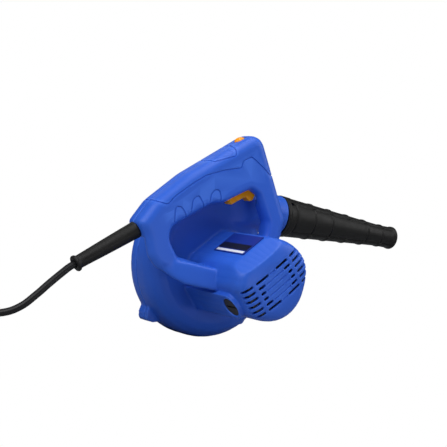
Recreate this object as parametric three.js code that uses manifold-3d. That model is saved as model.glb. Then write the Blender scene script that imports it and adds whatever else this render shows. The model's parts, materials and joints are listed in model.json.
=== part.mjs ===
// Hand-held electric blower with a D-handle, a cross-mounted motor and a twist-on rubber nozzle.
// Millimetres, +Z up. The blast leaves along +X and the motor sticks out to the -Y side.
// Everything is first drawn about the motor axis, where x = z = 0 and y = 0 is the middle of the
// outlet. The finished group is then moved so that the origin is the middle of its footprint.

import * as THREE from 'three';
import { mergeVertices } from 'three/addons/utils/BufferGeometryUtils.js';
import Module from 'manifold-3d';

const wasm = await Module();
wasm.setup();

// ---------------------------------------------------------------- driving dimensions

const gap = 0.3;                  // between pieces that touch or are screwed together
const wall = 2.6;                 // moulded plastic wall

// Scroll casing round the fan
const scrollMin = 67.3;           // outer radius just past the tongue
const scrollMax = 95;             // outer radius at the top, where the outlet begins
const tongueAngle = 45;           // degrees above +X
const sweepStart = 98;            // sweep from the tongue where the scroll begins to open
const sweepEnd = 315;             // sweep from the tongue where it is fully open
const scrollNear = -15;           // y of the wall on the motor side
const scrollShoulder = 18;        // depth of the rounded shoulder beside that wall
const scrollInset = 17;           // how far the shoulder draws in
const coverSplit = 17;            // y where the fan cover meets the casing
const coverShoulderStart = 26;    // y where the cover starts to round over
const coverFace = 34;             // y of the cover's flat face
const coverInset = 9;             // how far the cover's rounded edge draws in
const intakeRadius = 37;          // air intake in the cover
const intakeLip = 3.5;            // wall of the collar round the intake
const intakeDepth = 7;            // how far that collar stands out

// Outlet
const outletHeight = 70.3;        // z of the outlet's axis
const collarRadius = 21.75;       // outside of the round outlet collar
const collarStart = 48;           // x where the duct has become round
const collarEnd = 69.7;           // x of the collar's shoulder
const spigotRadius = 17.9;        // spigot that the nozzle slides over
const spigotLength = 27;
const spigotWall = 2.4;
const ductStart = -15;            // x where the duct leaves the scroll
const ductFloor = 49;             // z of the duct's underside at its start

// Motor housing
const brushTilt = 43;             // degrees: the brush axis above +X
const barrelUpper = 44.2;         // radius of its upper part
const barrelLower = 38.2;         // radius of its underside
const barrelFlat = 38;            // flat top, from the motor axis
const barrelSide = 38.7;          // flat side below the handle, from the motor axis
const barrelEnd = 113.5;          // motor side end, measured from the outlet's middle
const barrelCrown = [             // its rounded end: how far drawn in, and how far from the end
  [0, 19.5],
  [0.4, 13.5],
  [1.4, 9],
  [2.8, 6.1],
  [5, 3.9],
  [9, 2.4],
  [13.5, 1.5],
  [23.5, 0],
];
const bevelStart = 92.3;            // where the flat top starts to fall towards the end
const bevelFall = 9.2;              // how far it falls by the end face
const slotRows = 6;
const slotPitch = 6.1;
const slotWidth = 2.2;
const slotInner = 16;             // slots are open outside this radius
const slotRibStart = 21.3;        // a rib crosses every row here
const slotRibEnd = 25.3;
const slotDepthSide = 9.6;         // how far slots run down the side of the rounded end
const grooveDepth = 0.8;
const capPlace = 85;              // brush caps, measured along the motor
const capRadius = 10;
const capDepth = 7;
const capFace = 43.5;             // face of the boss that holds a cap, from the motor axis
const bossHalf = 14.5;            // half width of that boss
const bossEndShare = 0.8;         // length of its rounded end as a share of its half width

// Label place on the flat top
const labelAcross = [-8, 21];
const labelAlong = [41, 91.5];

// Motor
const shaftRadius = 4;
const shaftFrom = 111;
const bearingOuter = 11;
const bearingWidth = 7;
const bearingEndPlace = 104;      // near face of the end bearing
const bearingFanPlace = 9.5;      // near face of the fan-side bearing
const statorRadius = Math.min(barrelLower - wall - gap, barrelFlat - 1.2);
const statorBore = 21.3;
const stackFrom = 34;
const stackTo = 70;
const yokeWall = 4.5;
const poleHalfAngle = 48;
const coilWall = statorRadius - yokeWall - gap - statorBore - 2.2;
const coilOverhang = 6.5;
const rotorRadius = 20.7;
const rotorSlots = 12;
const windingRadius = 17.5;
const commutatorRadius = 12;
const commutatorLength = 13;
const brushWide = 6.5;
const brushLong = 10;
const brushReach = 12;             // from the commutator to the brush's outer end
const holderWall = 1.2;

// Fan
const fanRadius = 53;
const fanEye = 17;                // where the blades start
const fanBack = -8;               // y of the back plate's face towards the motor
const fanPlate = 2;
const fanHeight = 24;             // blade height at the eye
const fanTipHeight = 17;          // blade height at the rim
const fanHub = 10;
const hubLength = 14;
const threadRadius = 3.2;
const bladeCount = 9;
const bladeThick = 1.8;
const bladeSweep = 62;            // degrees a blade leans back from eye to rim

// D-handle
const handleMiddle = -36;         // y of the handle's parting plane
const handleHalf = 16;            // half width
const handleRound = 9;            // rounding of its outer edges
const loopRound = 6;              // rounding of the edges round the fingers
const handleWall = 3.2;
const triggerWidth = 12;
const triggerPivot = [3.5, 91.5];
const triggerPinRadius = 1.6;
const lockBack = 19.4;            // how far behind the head's top corner the lock button sits
const lockLean = 20;              // degrees that the top slopes there
const lockLength = 12.5;
const lockWidth = 8.5;
const lockProud = 1.9;

// Nozzle
const nozzleRoot = 22;            // outer radius at the collar
const nozzleSlope = 0.066;        // loss of radius per millimetre
const nozzleLength = 170;
const nozzleTipLength = 22;       // the last, almost straight stretch
const nozzleTipFlare = 0.6;
const nozzleFit = 0.4;            // radial play on the spigot
const nozzleTipWall = 2.3;
const ringCount = 5;
const ringPitch = 27;
const ringFirst = 42;             // from the nozzle's root
const ringWidth = 4;
const ringProud = 0.7;
const studRadius = 2.6;
const studProud = 1.2;
const studPlace = 18.5;           // from the nozzle's root
const twistAngle = 30;            // degrees from locked to free

// Lead
const cordRadius = 3.5;
const sleeveLength = 72;
const sleeveRadius = 8.2;
const sleeveTipRadius = 6.3;
const sleeveSlope = 35.2;         // degrees below -X
const sleeveSeat = [-121.7, 29.9];  // x and z where it leaves the handle
const cordRoute = [               // x, y and height over the floor, from the sleeve's tip to the coil
  [-190.8, -36, 49.3],
  [-202.4, -36, 37.6],
  [-214, -36, 25.2],
  [-227, -34.5, 12.8],
  [-240, -29.5, 5.6],
  [-252, -21.5, 3.7],
];
const coilCentre = [-262, 50];
const coilOuter = 48.5;           // outer radius of the coiled part of the lead
const coilTurnsWide = 3;
const coilTurnsHigh = 2;
const plugLength = 36;
const plugWide = 26;
const plugThick = 13.5;
const plugNeck = 11;              // its width where the lead enters
const plugPlace = [-232, 129];    // where the lead enters it
const plugTurn = 25;              // degrees from +X that it points
const pinRadius = 2;
const pinLength = 19;
const pinSpacing = 19;

// ---------------------------------------------------------------- shaping helpers

const rad = (degrees) => (degrees * Math.PI) / 180;
const along = (degrees, radius = 1) => [radius * Math.cos(rad(degrees)), radius * Math.sin(rad(degrees))];
const smooth = (t) => t * t * (3 - 2 * t);
const mix = (a, b, t) => a + (b - a) * t;

// A closed three.js geometry as a solid that can be joined and cut.
function solid(geometry) {
  const bare = geometry.clone();
  for (const name of ['normal', 'uv']) bare.deleteAttribute(name);
  const merged = mergeVertices(bare, 1e-4);
  const points = merged.attributes.position.array;
  const corners = merged.index.array;
  const triangles = [];
  let volume = 0;
  const [a, b, c] = [new THREE.Vector3(), new THREE.Vector3(), new THREE.Vector3()];
  for (let i = 0; i < corners.length; i += 3) {
    const [p, q, r] = corners.slice(i, i + 3);
    if (p === q || q === r || r === p) continue;
    triangles.push(p, q, r);
    a.fromArray(points, 3 * p);
    b.fromArray(points, 3 * q);
    c.fromArray(points, 3 * r);
    volume += a.dot(b.cross(c));
  }
  if (volume < 0) triangles.reverse();
  const mesh = new wasm.Mesh({
    numProp: 3,
    vertProperties: new Float32Array(points),
    triVerts: new Uint32Array(triangles),
  });
  return new wasm.Manifold(mesh);
}

function surface(body) {
  const mesh = body.getMesh();
  const geometry = new THREE.BufferGeometry();
  geometry.setAttribute('position', new THREE.BufferAttribute(new Float32Array(mesh.vertProperties), 3));
  geometry.setIndex(new THREE.BufferAttribute(new Uint32Array(mesh.triVerts), 1));
  geometry.computeVertexNormals();
  return geometry;
}

const join = (first, ...others) => others.reduce((body, other) => body.add(other), first);
const cut = (first, ...others) => others.reduce((body, other) => body.subtract(other), first);

// A box between two corners.
function block([x0, y0, z0], [x1, y1, z1]) {
  const geometry = new THREE.BoxGeometry(x1 - x0, y1 - y0, z1 - z0);
  geometry.translate((x0 + x1) / 2, (y0 + y1) / 2, (z0 + z1) / 2);
  return solid(geometry);
}

// A cylinder between two points.
function rod(from, to, radius, sides = 16, endRadius = radius) {
  const start = new THREE.Vector3(...from);
  const axis = new THREE.Vector3(...to).sub(start);
  const geometry = new THREE.CylinderGeometry(endRadius, radius, axis.length(), sides);
  geometry.translate(0, axis.length() / 2, 0);
  const turn = new THREE.Quaternion().setFromUnitVectors(new THREE.Vector3(0, 1, 0), axis.clone().normalize());
  geometry.applyQuaternion(turn);
  geometry.translate(...from);
  return solid(geometry);
}

// A turned piece about the motor axis: pairs of radius and y, a closed loop or from axis to axis.
function turned(profile, sides = 24) {
  const points = profile.map(([radius, y]) => new THREE.Vector2(radius, y));
  return solid(new THREE.LatheGeometry(points, sides));
}

// A turned piece about the outlet's axis: pairs of radius and x.
function turnedAlongX(profile, sides = 24) {
  const points = profile.map(([radius, x]) => new THREE.Vector2(radius, x));
  const geometry = new THREE.LatheGeometry(points, sides);
  geometry.rotateZ(-Math.PI / 2);
  geometry.translate(0, 0, outletHeight);
  return solid(geometry);
}

// A closed outline in the XZ plane. Its corners are given as x, z and radius; inset draws it in.
function outlineOf(corners, inset = 0, steps = 3) {
  const count = corners.length;
  const at = (i) => new THREE.Vector2(...corners[(i + count) % count].slice(0, 2));
  const area = corners.reduce((sum, _, i) => sum + at(i).cross(at(i + 1)), 0);
  const inward = Math.sign(area);
  return corners.flatMap(([, , radius = 0], i) => {
    const here = at(i);
    const before = at(i - 1).sub(here);
    const after = at(i + 1).sub(here);
    const shorter = Math.min(before.length(), after.length());
    before.normalize();
    after.normalize();
    const half = Math.acos(THREE.MathUtils.clamp(before.dot(after), -1, 1)) / 2;
    const hollow = Math.sign(before.cross(after)) === inward;
    const bisector = before.clone().add(after).normalize();
    here.addScaledVector(bisector, ((hollow ? -1 : 1) * inset) / Math.sin(half));
    if (radius === 0) return [[here.x, here.y]];
    const full = Math.min(radius, Math.tan(half) * 0.49 * shorter);
    const size = Math.max(hollow ? full + inset : full - inset, 0.2);
    const centre = here.clone().addScaledVector(bisector, size / Math.sin(half));
    const start = here.clone().addScaledVector(before, size / Math.tan(half)).sub(centre);
    const turn = (Math.PI - 2 * half) * (hollow ? -inward : inward);
    return Array.from({ length: steps + 1 }, (_, k) => {
      const point = start.clone().rotateAround(new THREE.Vector2(), (turn * k) / steps).add(centre);
      return [point.x, point.y];
    });
  });
}

// A prism along y over such an outline; each layer gives its y and how far it is drawn in.
function layered(corners, layers, steps = 3) {
  return loft(layers.map(([y, inset]) => outlineOf(corners, inset, steps).map(([x, z]) => [x, y, z])));
}

const slab = (corners, low, high) => layered(corners, [[low, 0], [high, 0]]);

// The layers of a piece whose edges are rounded, or of a hole whose rims are.
function roundedLayers(low, high, radius, sign = 1, bands = 2) {
  const quarter = Array.from({ length: bands + 1 }, (_, k) => {
    const t = (Math.PI / 2) * (k / bands);
    return [radius * (1 - Math.cos(t)), sign * radius * (1 - Math.sin(t))];
  });
  return [
    ...quarter.map(([depth, inset]) => [low + depth, inset]),
    ...quarter.reverse().map(([depth, inset]) => [high - depth, inset]),
  ];
}

const roundedSlab = (corners, low, high, radius, bands = 2) =>
  layered(corners, roundedLayers(low, high, radius, 1, bands));

// Triangles that fill a flat ring of points lying anywhere in space.
function capFaces(ringPoints) {
  const points = ringPoints.map((point) => new THREE.Vector3(...point));
  const normal = new THREE.Vector3();
  points.forEach((point, i) => normal.add(point.clone().cross(points[(i + 1) % points.length])));
  const flat = new THREE.Quaternion().setFromUnitVectors(normal.normalize(), new THREE.Vector3(0, 0, 1));
  const ring2d = points.map((point) => {
    const { x, y } = point.applyQuaternion(flat);
    return new THREE.Vector2(x, y);
  });
  return THREE.ShapeUtils.triangulateShape(ring2d, []);
}

// A skin over a row of sections, each a closed ring with the same number of points.
function loft(sections) {
  const count = sections[0].length;
  const points = sections.flat(2);
  const corners = [];
  for (let s = 0; s < sections.length - 1; s += 1) {
    for (let i = 0; i < count; i += 1) {
      const [a, b] = [s * count + i, s * count + ((i + 1) % count)];
      corners.push(a, b, b + count, a, b + count, a + count);
    }
  }
  [0, sections.length - 1].forEach((s) => {
    for (const face of capFaces(sections[s])) {
      const [a, b, c] = face.map((i) => s * count + i);
      corners.push(...(s === 0 ? [c, b, a] : [a, b, c]));
    }
  });
  const geometry = new THREE.BufferGeometry();
  geometry.setAttribute('position', new THREE.BufferAttribute(new Float32Array(points), 3));
  geometry.setIndex(corners);
  return solid(geometry);
}

// Directions of the tilted motor section: d runs along the brush axis and n towards the flat top.
const brushAxis = new THREE.Vector3(Math.cos(rad(brushTilt)), 0, Math.sin(rad(brushTilt)));
const topAxis = new THREE.Vector3(-Math.sin(rad(brushTilt)), 0, Math.cos(rad(brushTilt)));

// A point of the motor: d and n in its section, m along it from the outlet's middle.
function motorPoint(d, n, m) {
  return [d * brushAxis.x + n * topAxis.x, -m, d * brushAxis.z + n * topAxis.z];
}

// A box given by its limits in d, n and m.
function motorBlock([d0, d1], [n0, n1], [m0, m1]) {
  const geometry = new THREE.BoxGeometry(d1 - d0, m1 - m0, n1 - n0);
  geometry.translate((d0 + d1) / 2, -(m0 + m1) / 2, (n0 + n1) / 2);
  geometry.rotateY(-rad(brushTilt));
  return solid(geometry);
}

// A piece drawn in the motor's section, turned into place.
function tiltedSlab(outline, m0, m1, curveSegments = 8) {
  const geometry = new THREE.ExtrudeGeometry(outline, {
    depth: m1 - m0,
    bevelEnabled: false,
    curveSegments,
    steps: 1,
  });
  geometry.rotateX(Math.PI / 2);
  geometry.translate(0, -m0, 0);
  geometry.rotateY(-rad(brushTilt));
  return solid(geometry);
}

// ---------------------------------------------------------------- casing forms

const scrollSteps = 36;

function scrollRadius(angle) {
  const sweep = (((tongueAngle - angle) % 360) + 360) % 360;
  if (sweep <= sweepStart) return scrollMin;
  if (sweep <= sweepEnd) {
    return mix(scrollMin, scrollMax, smooth((sweep - sweepStart) / (sweepEnd - sweepStart)));
  }
  return mix(scrollMax, scrollMin, smooth((sweep - sweepEnd) / (360 - sweepEnd)));
}

function scrollSection(y, inset) {
  return Array.from({ length: scrollSteps }, (_, i) => {
    const angle = (360 * i) / scrollSteps;
    const [x, z] = along(angle, scrollRadius(angle) - inset);
    return [x, y, z];
  });
}

// The casing's body from its motor-side wall to the split, drawn in by inset all round.
function scrollBody(inset, near, far) {
  const shoulder = [0, 1, 2, 3].map((step) => {
    const t = rad(30 * step);
    const y = near + (scrollShoulder - inset) * (1 - Math.cos(t));
    return scrollSection(y, inset + (scrollInset - inset) * (1 - Math.sin(t)));
  });
  return loft([...shoulder, scrollSection(far, inset)]);
}

// The cover's dish, from the split to its flat face.
function coverBody(inset, near, far) {
  const edge = [0, 1, 2, 3].map((step) => {
    const t = rad(30 * step);
    const y = mix(coverShoulderStart - inset, far, Math.sin(t));
    return scrollSection(y, inset + (coverInset - inset / 2) * (1 - Math.cos(t)));
  });
  return loft([scrollSection(near, inset), ...edge]);
}

// The duct that turns the scroll's flat throat into the round outlet.
function duct(inset, from = ductStart) {
  const steps = 5;
  const sides = 24;
  const sections = Array.from({ length: steps + 1 }, (_, s) => {
    const t = s / steps;
    const ease = smooth(t);
    const top = mix(scrollMax - 1.5, outletHeight + collarRadius, ease) - inset;
    const floor = mix(ductFloor, outletHeight - collarRadius, ease) + inset;
    const near = mix(scrollNear, -collarRadius, ease) + inset;
    const far = mix(coverSplit, collarRadius, ease) - inset;
    const power = mix(7, 2, ease);
    return Array.from({ length: sides }, (_unused, i) => {
      const [c, s2] = along((360 * i) / sides);
      const y = (near + far) / 2 + ((far - near) / 2) * Math.sign(c) * Math.abs(c) ** (2 / power);
      const z = (floor + top) / 2 + ((top - floor) / 2) * Math.sign(s2) * Math.abs(s2) ** (2 / power);
      return [mix(from, collarStart, t), y, z];
    });
  });
  return loft(sections);
}

const barrelSteps = 36;

// The barrel's section: round, smaller below, with one flat side; drop draws it in further.
function barrelSection(m, inset, drop = 0) {
  const side = barrelSide - inset - drop;
  return Array.from({ length: barrelSteps }, (_, i) => {
    const angle = (360 * i) / barrelSteps;
    const below = angle > 180 ? Math.min((angle - 180) / 30, (365 - angle) / 55, 1) : Math.max((5 - angle) / 55, 0);
    const radius = mix(barrelUpper, barrelLower, smooth(below)) - inset - drop;
    const [d, n] = along(angle, radius);
    return motorPoint(Math.max(d, -side), n, m);
  });
}

// The motor housing: the barrel with its crowned end, before its flat top is cut.
function barrelBody(inset, from, to) {
  const end = barrelCrown.map(([drop, back]) => barrelSection(to - back, inset, drop));
  return loft([barrelSection(from, inset), ...end]);
}

// What is cut away above the flat top and its bevel towards the end face.
function aboveTop(lift) {
  const high = barrelUpper + 20;
  const wide = barrelUpper + 20;
  const profile = [
    [-60, barrelFlat + lift],
    [bevelStart, barrelFlat + lift],
    [barrelEnd, barrelFlat - bevelFall + lift],
    [barrelEnd + 20, barrelFlat - bevelFall + lift],
    [barrelEnd + 20, high],
    [-60, high],
  ];
  return loft([-wide, wide].map((d) => profile.map(([m, n]) => motorPoint(d, n, m))));
}

const barrelOuter = (inset, from) => cut(barrelBody(inset, from, barrelEnd - inset), aboveTop(-inset));

// ---------------------------------------------------------------- D-handle outlines

const handleOuter = [
  [-127, 36.7, 4],
  [-113.6, 59.6, 20],
  [-81, 91.2, 40],
  [-4.3, 149.3, 13],
  [46, 66, 7],
  [44, 46, 5],
  [32, 15],
  [-28, -13.5],
  [-99, -5, 8],
  [-111, 5.5, 15],
  [-118, 24, 4],
];

// Where the lever end of the arm spreads towards the motor: x, near y, underside and top.
const armSpread = [
  [-94, -49.5, -5, 2.4],
  [-82, -53.2, -11, 7.6],
  [-70, -59, -15.2, 7.4],
  [-42, -71, -16.4, 4.8],
  [-34, -71, -16.4, 4.8],
];

const handleLoop = [
  [-91, 37, 10],
  [-50, 66, 25],
  [-32, 71, 4],
  [-27, 75, 3],
  [-5, 88.5, 3],
  [5, 84.5, 3],
  [22, 59],
  [22, 46],
  [14, 28],
  [-25, 12],
  [-39, 6],
  [-78, 10.5, 4],
  [-90, 25, 10],
];

// Hollow of the grip and head, for the switch and wires.
const handleHollow = [
  [-114, 50, 3],
  [-86, 80, 20],
  [-20, 130, 6],
  [-8, 134, 6],
  [2, 122, 4],
  [2, 101],
  [-34, 101],
  [-37, 81, 2],
  [-55, 71, 5],
  [-76, 57, 5],
  [-104, 44],
];

function handleBody() {
  const [low, high] = [handleMiddle - handleHalf, handleMiddle + handleHalf];
  const rims = roundedLayers(low, high, loopRound, -1);
  const loop = layered(handleLoop, [[low - 2, -loopRound], ...rims.slice(1, -1), [high + 2, -loopRound]]);
  return cut(roundedSlab(handleOuter, low, high, handleRound, 3), loop);
}

// The arm grows thicker towards the motor, on the near side only.
function armRoot() {
  const edge = 2.9;
  return loft(armSpread.map(([x, near, under, top]) => [
    [x, near, under + edge],
    [x, near, top - edge],
    [x, near + edge * 0.3, top - edge * 0.3],
    [x, near + edge, top],
    [x, handleMiddle - gap / 2, top],
    [x, handleMiddle - gap / 2, mix(under, top, 0.65)],
    [x, near + edge, under],
    [x, near + edge * 0.3, under + edge * 0.3],
  ]));
}

// The lock button sits on the straight top, just behind the head's rounded corner.
const headCorner = handleOuter.reduce((best, [, z], i) => (z > handleOuter[best][1] ? i : best), 0);
const [topBehind, topAhead] = [headCorner - 1, headCorner].map((i) =>
  new THREE.Vector2(...handleOuter[i].slice(0, 2)));
const lockPlace = topBehind.sub(topAhead).setLength(lockBack).add(topAhead).toArray();

// Below this slanting line the far half of the handle ends, and the near half has a rounded back.
const coverEdge = [[-160, 2], [60, 112], [60, -60], [-160, -60]];
const armBackRound = 12;          // depth and height of that rounding

// The lead leaves the handle here, along this direction.
const sleeveDirection = [-Math.cos(rad(sleeveSlope)), 0, -Math.sin(rad(sleeveSlope))];
const onLead = (distance) => [
  sleeveSeat[0] + distance * sleeveDirection[0],
  handleMiddle,
  sleeveSeat[1] + distance * sleeveDirection[2],
];

// ---------------------------------------------------------------- fasteners and their holes

const handleScrewPlaces = [
  [27, 82],
  [11, 112],
  [-100, 62],
  [-58, 80],
];
const handleScrewHead = handleMiddle + handleHalf - 4.5;
const handleScrewTip = handleMiddle - 9;
const screwRadius = 1.5;
const screwHeadRadius = 3.4;
const screwHeadHeight = 2.4;

const lugAngles = [223, 319, 20, 95];
const lugRadius = 5.8;
const lugReach = 3.6;             // how far a lug's hole lies outside the scroll
const lugNear = 11.5;
const lugFar = 29;
const lugPlaces = lugAngles.map((angle) => along(angle, scrollRadius(angle) + lugReach));

// The hollow of the handle, with a pillar left standing round each screw.
const handleCavity = () => cut(
  slab(handleHollow, handleMiddle - handleHalf + handleWall, handleMiddle + handleHalf - handleWall),
  ...handleScrewPlaces.map(([x, z]) =>
    rod([x, handleMiddle - 20, z], [x, handleMiddle + 20, z], screwHeadRadius + 2.2, 12)),
);

// A screw lying along y, its head at the higher or the lower end.
function screw([x, z], headFace, tip) {
  const way = Math.sign(tip - headFace);
  const neck = headFace + way * screwHeadHeight;
  const head = rod([x, headFace, z], [x, neck, z], screwHeadRadius, 12);
  const shank = rod([x, neck - way * 0.5, z], [x, tip, z], screwRadius, 8);
  const slotLong = screwHeadRadius * 1.3;
  const deep = [headFace - way, headFace + way * 1.1].sort((a, b) => a - b);
  const recess = join(
    block([x - slotLong / 2, deep[0], z - 0.4], [x + slotLong / 2, deep[1], z + 0.4]),
    block([x - 0.4, deep[0], z - slotLong / 2], [x + 0.4, deep[1], z + slotLong / 2]),
  );
  return cut(join(head, shank), recess);
}

const handleScrewHoles = handleScrewPlaces.map(([x, z]) =>
  join(
    rod([x, handleScrewTip - gap, z], [x, handleMiddle + handleHalf + 1, z], screwRadius + gap, 8),
    rod([x, handleScrewHead - screwHeadHeight - gap, z], [x, handleMiddle + handleHalf + 1, z],
      screwHeadRadius + gap, 12),
  ));

const lugScrewHead = lugFar - 1;
const lugScrewTip = lugNear + 1.5;
const lugScrewHoles = lugPlaces.map(([x, z]) =>
  join(
    rod([x, lugScrewTip - gap, z], [x, lugFar + 1, z], screwRadius + gap, 8),
    rod([x, lugScrewHead - screwHeadHeight - gap, z], [x, lugFar + 1, z], screwHeadRadius + gap, 12),
  ));

// A screw lug: a round boss with two flanks running back to the scroll.
function lug(angle, low, high) {
  const radius = scrollRadius(angle);
  const outer = radius + lugReach;
  const [cx, cz] = along(angle, outer);
  const left = along(angle + 9, radius - 1.5);
  const right = along(angle - 9, radius - 1.5);
  const tipLeft = along(angle + 4.2, outer + lugRadius * 0.55);
  const tipRight = along(angle - 4.2, outer + lugRadius * 0.55);
  const boss = rod([cx, low, cz], [cx, high, cz], lugRadius, 14);
  return join(boss, slab([left, tipLeft, tipRight, right], low, high));
}

// ---------------------------------------------------------------- moving-piece clearances

// The trigger's outline, finger hook below and rocker arm above the pin.
const triggerOutline = [
  [-28, 75, 1.5],
  [-20.5, 69.8, 2],
  [-12.5, 75.2, 6],
  [-4.5, 80.8, 3],
  [0.8, 77.2, 2],
  [5.2, 78.6, 2],
  [8.6, 88, 4],
  [6.5, 96, 3],
  [-8, 96.5, 2],
  [-14, 88.5, 3],
];

const triggerLow = handleMiddle - triggerWidth / 2;
const triggerHigh = handleMiddle + triggerWidth / 2;

// The slot that the trigger swings in, through both halves of the handle.
function triggerSlot() {
  const reach = 0.7;
  const corners = [
    [-31.5, 66],
    [-31.5, 84, 2],
    [-18, 99],
    [-18, 102],
    [2, 102],
    [12, 99, 2],
    [12, 79],
    [10, 66],
  ];
  return slab(corners, triggerLow - reach, triggerHigh + reach);
}

// An oval pad on the handle's top, from one height to another along the normal.
function lockOval(long, wide, low, high, bevel = 0) {
  const outline = new THREE.Shape();
  const straight = (long - wide) / 2;
  outline.absarc(straight, 0, wide / 2, -Math.PI / 2, Math.PI / 2, false);
  outline.absarc(-straight, 0, wide / 2, Math.PI / 2, (3 * Math.PI) / 2, false);
  const geometry = new THREE.ExtrudeGeometry(outline, {
    depth: high - low - 2 * bevel,
    bevelEnabled: bevel > 0,
    bevelThickness: bevel,
    bevelSize: bevel,
    bevelOffset: -bevel,
    bevelSegments: 2,
    curveSegments: 5,
    steps: 1,
  });
  geometry.translate(0, 0, low + bevel);
  geometry.rotateY(-rad(lockLean));
  geometry.translate(lockPlace[0], handleMiddle, lockPlace[1]);
  return solid(geometry);
}

const lockWell = () => lockOval(lockLength + 2 * gap, lockWidth + 2 * gap, -14, 12);

// ---------------------------------------------------------------- casing pieces

function endSlots() {
  const cuts = [];
  const through = barrelEnd - slotDepthSide;
  for (let row = 0; row < slotRows; row += 1) {
    const n = (row - (slotRows - 1) / 2) * slotPitch;
    const across = [n - slotWidth / 2, n + slotWidth / 2];
    const start = Math.sqrt(Math.max(slotInner ** 2 - n ** 2, 25));
    const past = barrelUpper + 5;
    for (const side of [-1, 1]) {
      const inner = [side * start, side * slotRibStart].sort((a, b) => a - b);
      const outer = [side * slotRibEnd, side * past].sort((a, b) => a - b);
      cuts.push(motorBlock(inner, across, [through, barrelEnd + 2]));
      cuts.push(motorBlock(outer, across, [through, barrelEnd + 2]));
    }
    cuts.push(motorBlock([-start + 1, start - 1], across, [barrelEnd - grooveDepth, barrelEnd + 2]));
  }
  return cuts;
}

// A stadium slab in the plane of m and n, between two distances along the brush axis.
function stadium(half, mStart, mEnd, d0, d1) {
  const outline = new THREE.Shape();
  outline.moveTo(mStart, -half);
  outline.lineTo(mEnd, -half);
  outline.absarc(mEnd, 0, half, -Math.PI / 2, Math.PI / 2, false);
  outline.lineTo(mStart, half);
  outline.closePath();
  const points = outline.getPoints(6).slice(0, -1);
  for (const point of points) point.x = Math.min(point.x, mix(mEnd, point.x, bossEndShare));
  return loft([d0, d1].map((d) => points.map((point) => motorPoint(d, point.y, point.x))));
}

const motorRod = (d0, d1, m, radius, sides = 20) =>
  rod(motorPoint(d0, 0, m), motorPoint(d1, 0, m), radius, sides);

function mainHousing() {
  const bosses = [-1, 1].map((side) => stadium(bossHalf, 12, capPlace, side * 30, side * capFace));
  const back = handleMiddle - gap / 2;
  const roundedBack = layered(handleOuter, [
    [back - handleHalf - 5, -4],
    [back - armBackRound, -0.6],
    [back - armBackRound * 0.65, armBackRound * 0.12],
    [back - armBackRound * 0.3, armBackRound * 0.38],
    [back + 1, armBackRound * 0.84],
  ]);
  const nearHandle = cut(
    handleBody().intersect(block([-200, back - 60, -100], [200, back, 200])),
    cut(slab(coverEdge, back - handleHalf - 4, back + 0.5), roundedBack),
  );
  const collar = turnedAlongX([
    [0, collarStart - 1],
    [collarRadius, collarStart - 1],
    [collarRadius, collarEnd],
    [spigotRadius, collarEnd],
    [spigotRadius, collarEnd + spigotLength],
    [0, collarEnd + spigotLength],
  ]);
  const studs = [-1, 1].map((side) => rod(
    [collarEnd + studPlace, side * (spigotRadius - 1), outletHeight],
    [collarEnd + studPlace, side * (spigotRadius + studProud), outletHeight], studRadius, 16));
  let body = join(
    scrollBody(0, scrollNear, coverSplit),
    duct(0),
    collar,
    ...studs,
    barrelOuter(0, -scrollNear - 3),
    ...bosses,
    nearHandle,
    ...lugAngles.map((angle) => lug(angle, lugNear, coverSplit)),
    armRoot(),
  );
  const scrollVoid = join(
    scrollBody(wall, scrollNear + wall, coverSplit + 1),
    duct(wall, ductStart - 1),
    rod([collarStart - 2, 0, outletHeight], [collarEnd + spigotLength + 1, 0, outletHeight],
      spigotRadius - spigotWall, 36),
  );
  const barrelVoid = barrelOuter(wall, -scrollNear + wall + 0.5);
  const bearingSeat = join(
    turned([[0, -bearingFanPlace - bearingWidth - 3], [bearingOuter + 3, -bearingFanPlace - bearingWidth - 3],
      [bearingOuter + 3, scrollNear + wall + 3], [0, scrollNear + wall + 3]], 28),
  );
  const endBoss = turned([[0, -barrelEnd + 1], [bearingOuter + 4.5, -barrelEnd + 1],
    [bearingOuter + 4.5, -bearingEndPlace], [0, -bearingEndPlace]], 28);
  const endSeat = turned([[0, -bearingEndPlace - bearingWidth - gap], [bearingOuter + 2 + gap,
    -bearingEndPlace - bearingWidth - gap], [bearingOuter + 2 + gap, -bearingEndPlace + 1],
  [0, -bearingEndPlace + 1]], 28);
  const fanSeat = turned([[0, -bearingFanPlace - bearingWidth - gap],
    [bearingOuter + gap, -bearingFanPlace - bearingWidth - gap],
    [bearingOuter + gap, scrollNear + 40], [0, scrollNear + 40]], 28);
  const shaftPass = turned([[0, -40], [shaftRadius + 1.5, -40], [shaftRadius + 1.5, 0], [0, 0]], 20);
  const airHoles = [0, 60, 120, 180, 240, 300].map((angle) => {
    const [x, z] = along(angle + 15, 25);
    return rod([x, -40, z], [x, 5, z], 7, 10);
  });
  const capHoles = [-1, 1].flatMap((side) => [
    motorRod(side * (capFace - capDepth), side * (capFace + 2), capPlace, capRadius + gap),
    motorRod(side * 20, side * capFace, capPlace, capRadius - 2),
  ]);
  body = cut(body, scrollVoid, barrelVoid);
  body = join(body, bearingSeat, endBoss);
  return cut(
    body, fanSeat, endSeat, shaftPass, ...airHoles, ...capHoles, ...endSlots(),
    handleCavity(), triggerSlot(), lockWell(), ...handleScrewHoles, ...lugScrewHoles,
    rod(onLead(-25), onLead(6), sleeveRadius - 2 + gap, 20),
    rod([triggerPivot[0], handleMiddle - handleHalf + 2, triggerPivot[1]],
      [triggerPivot[0], handleMiddle + 5, triggerPivot[1]], triggerPinRadius + 0.1, 12),
  );
}

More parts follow.
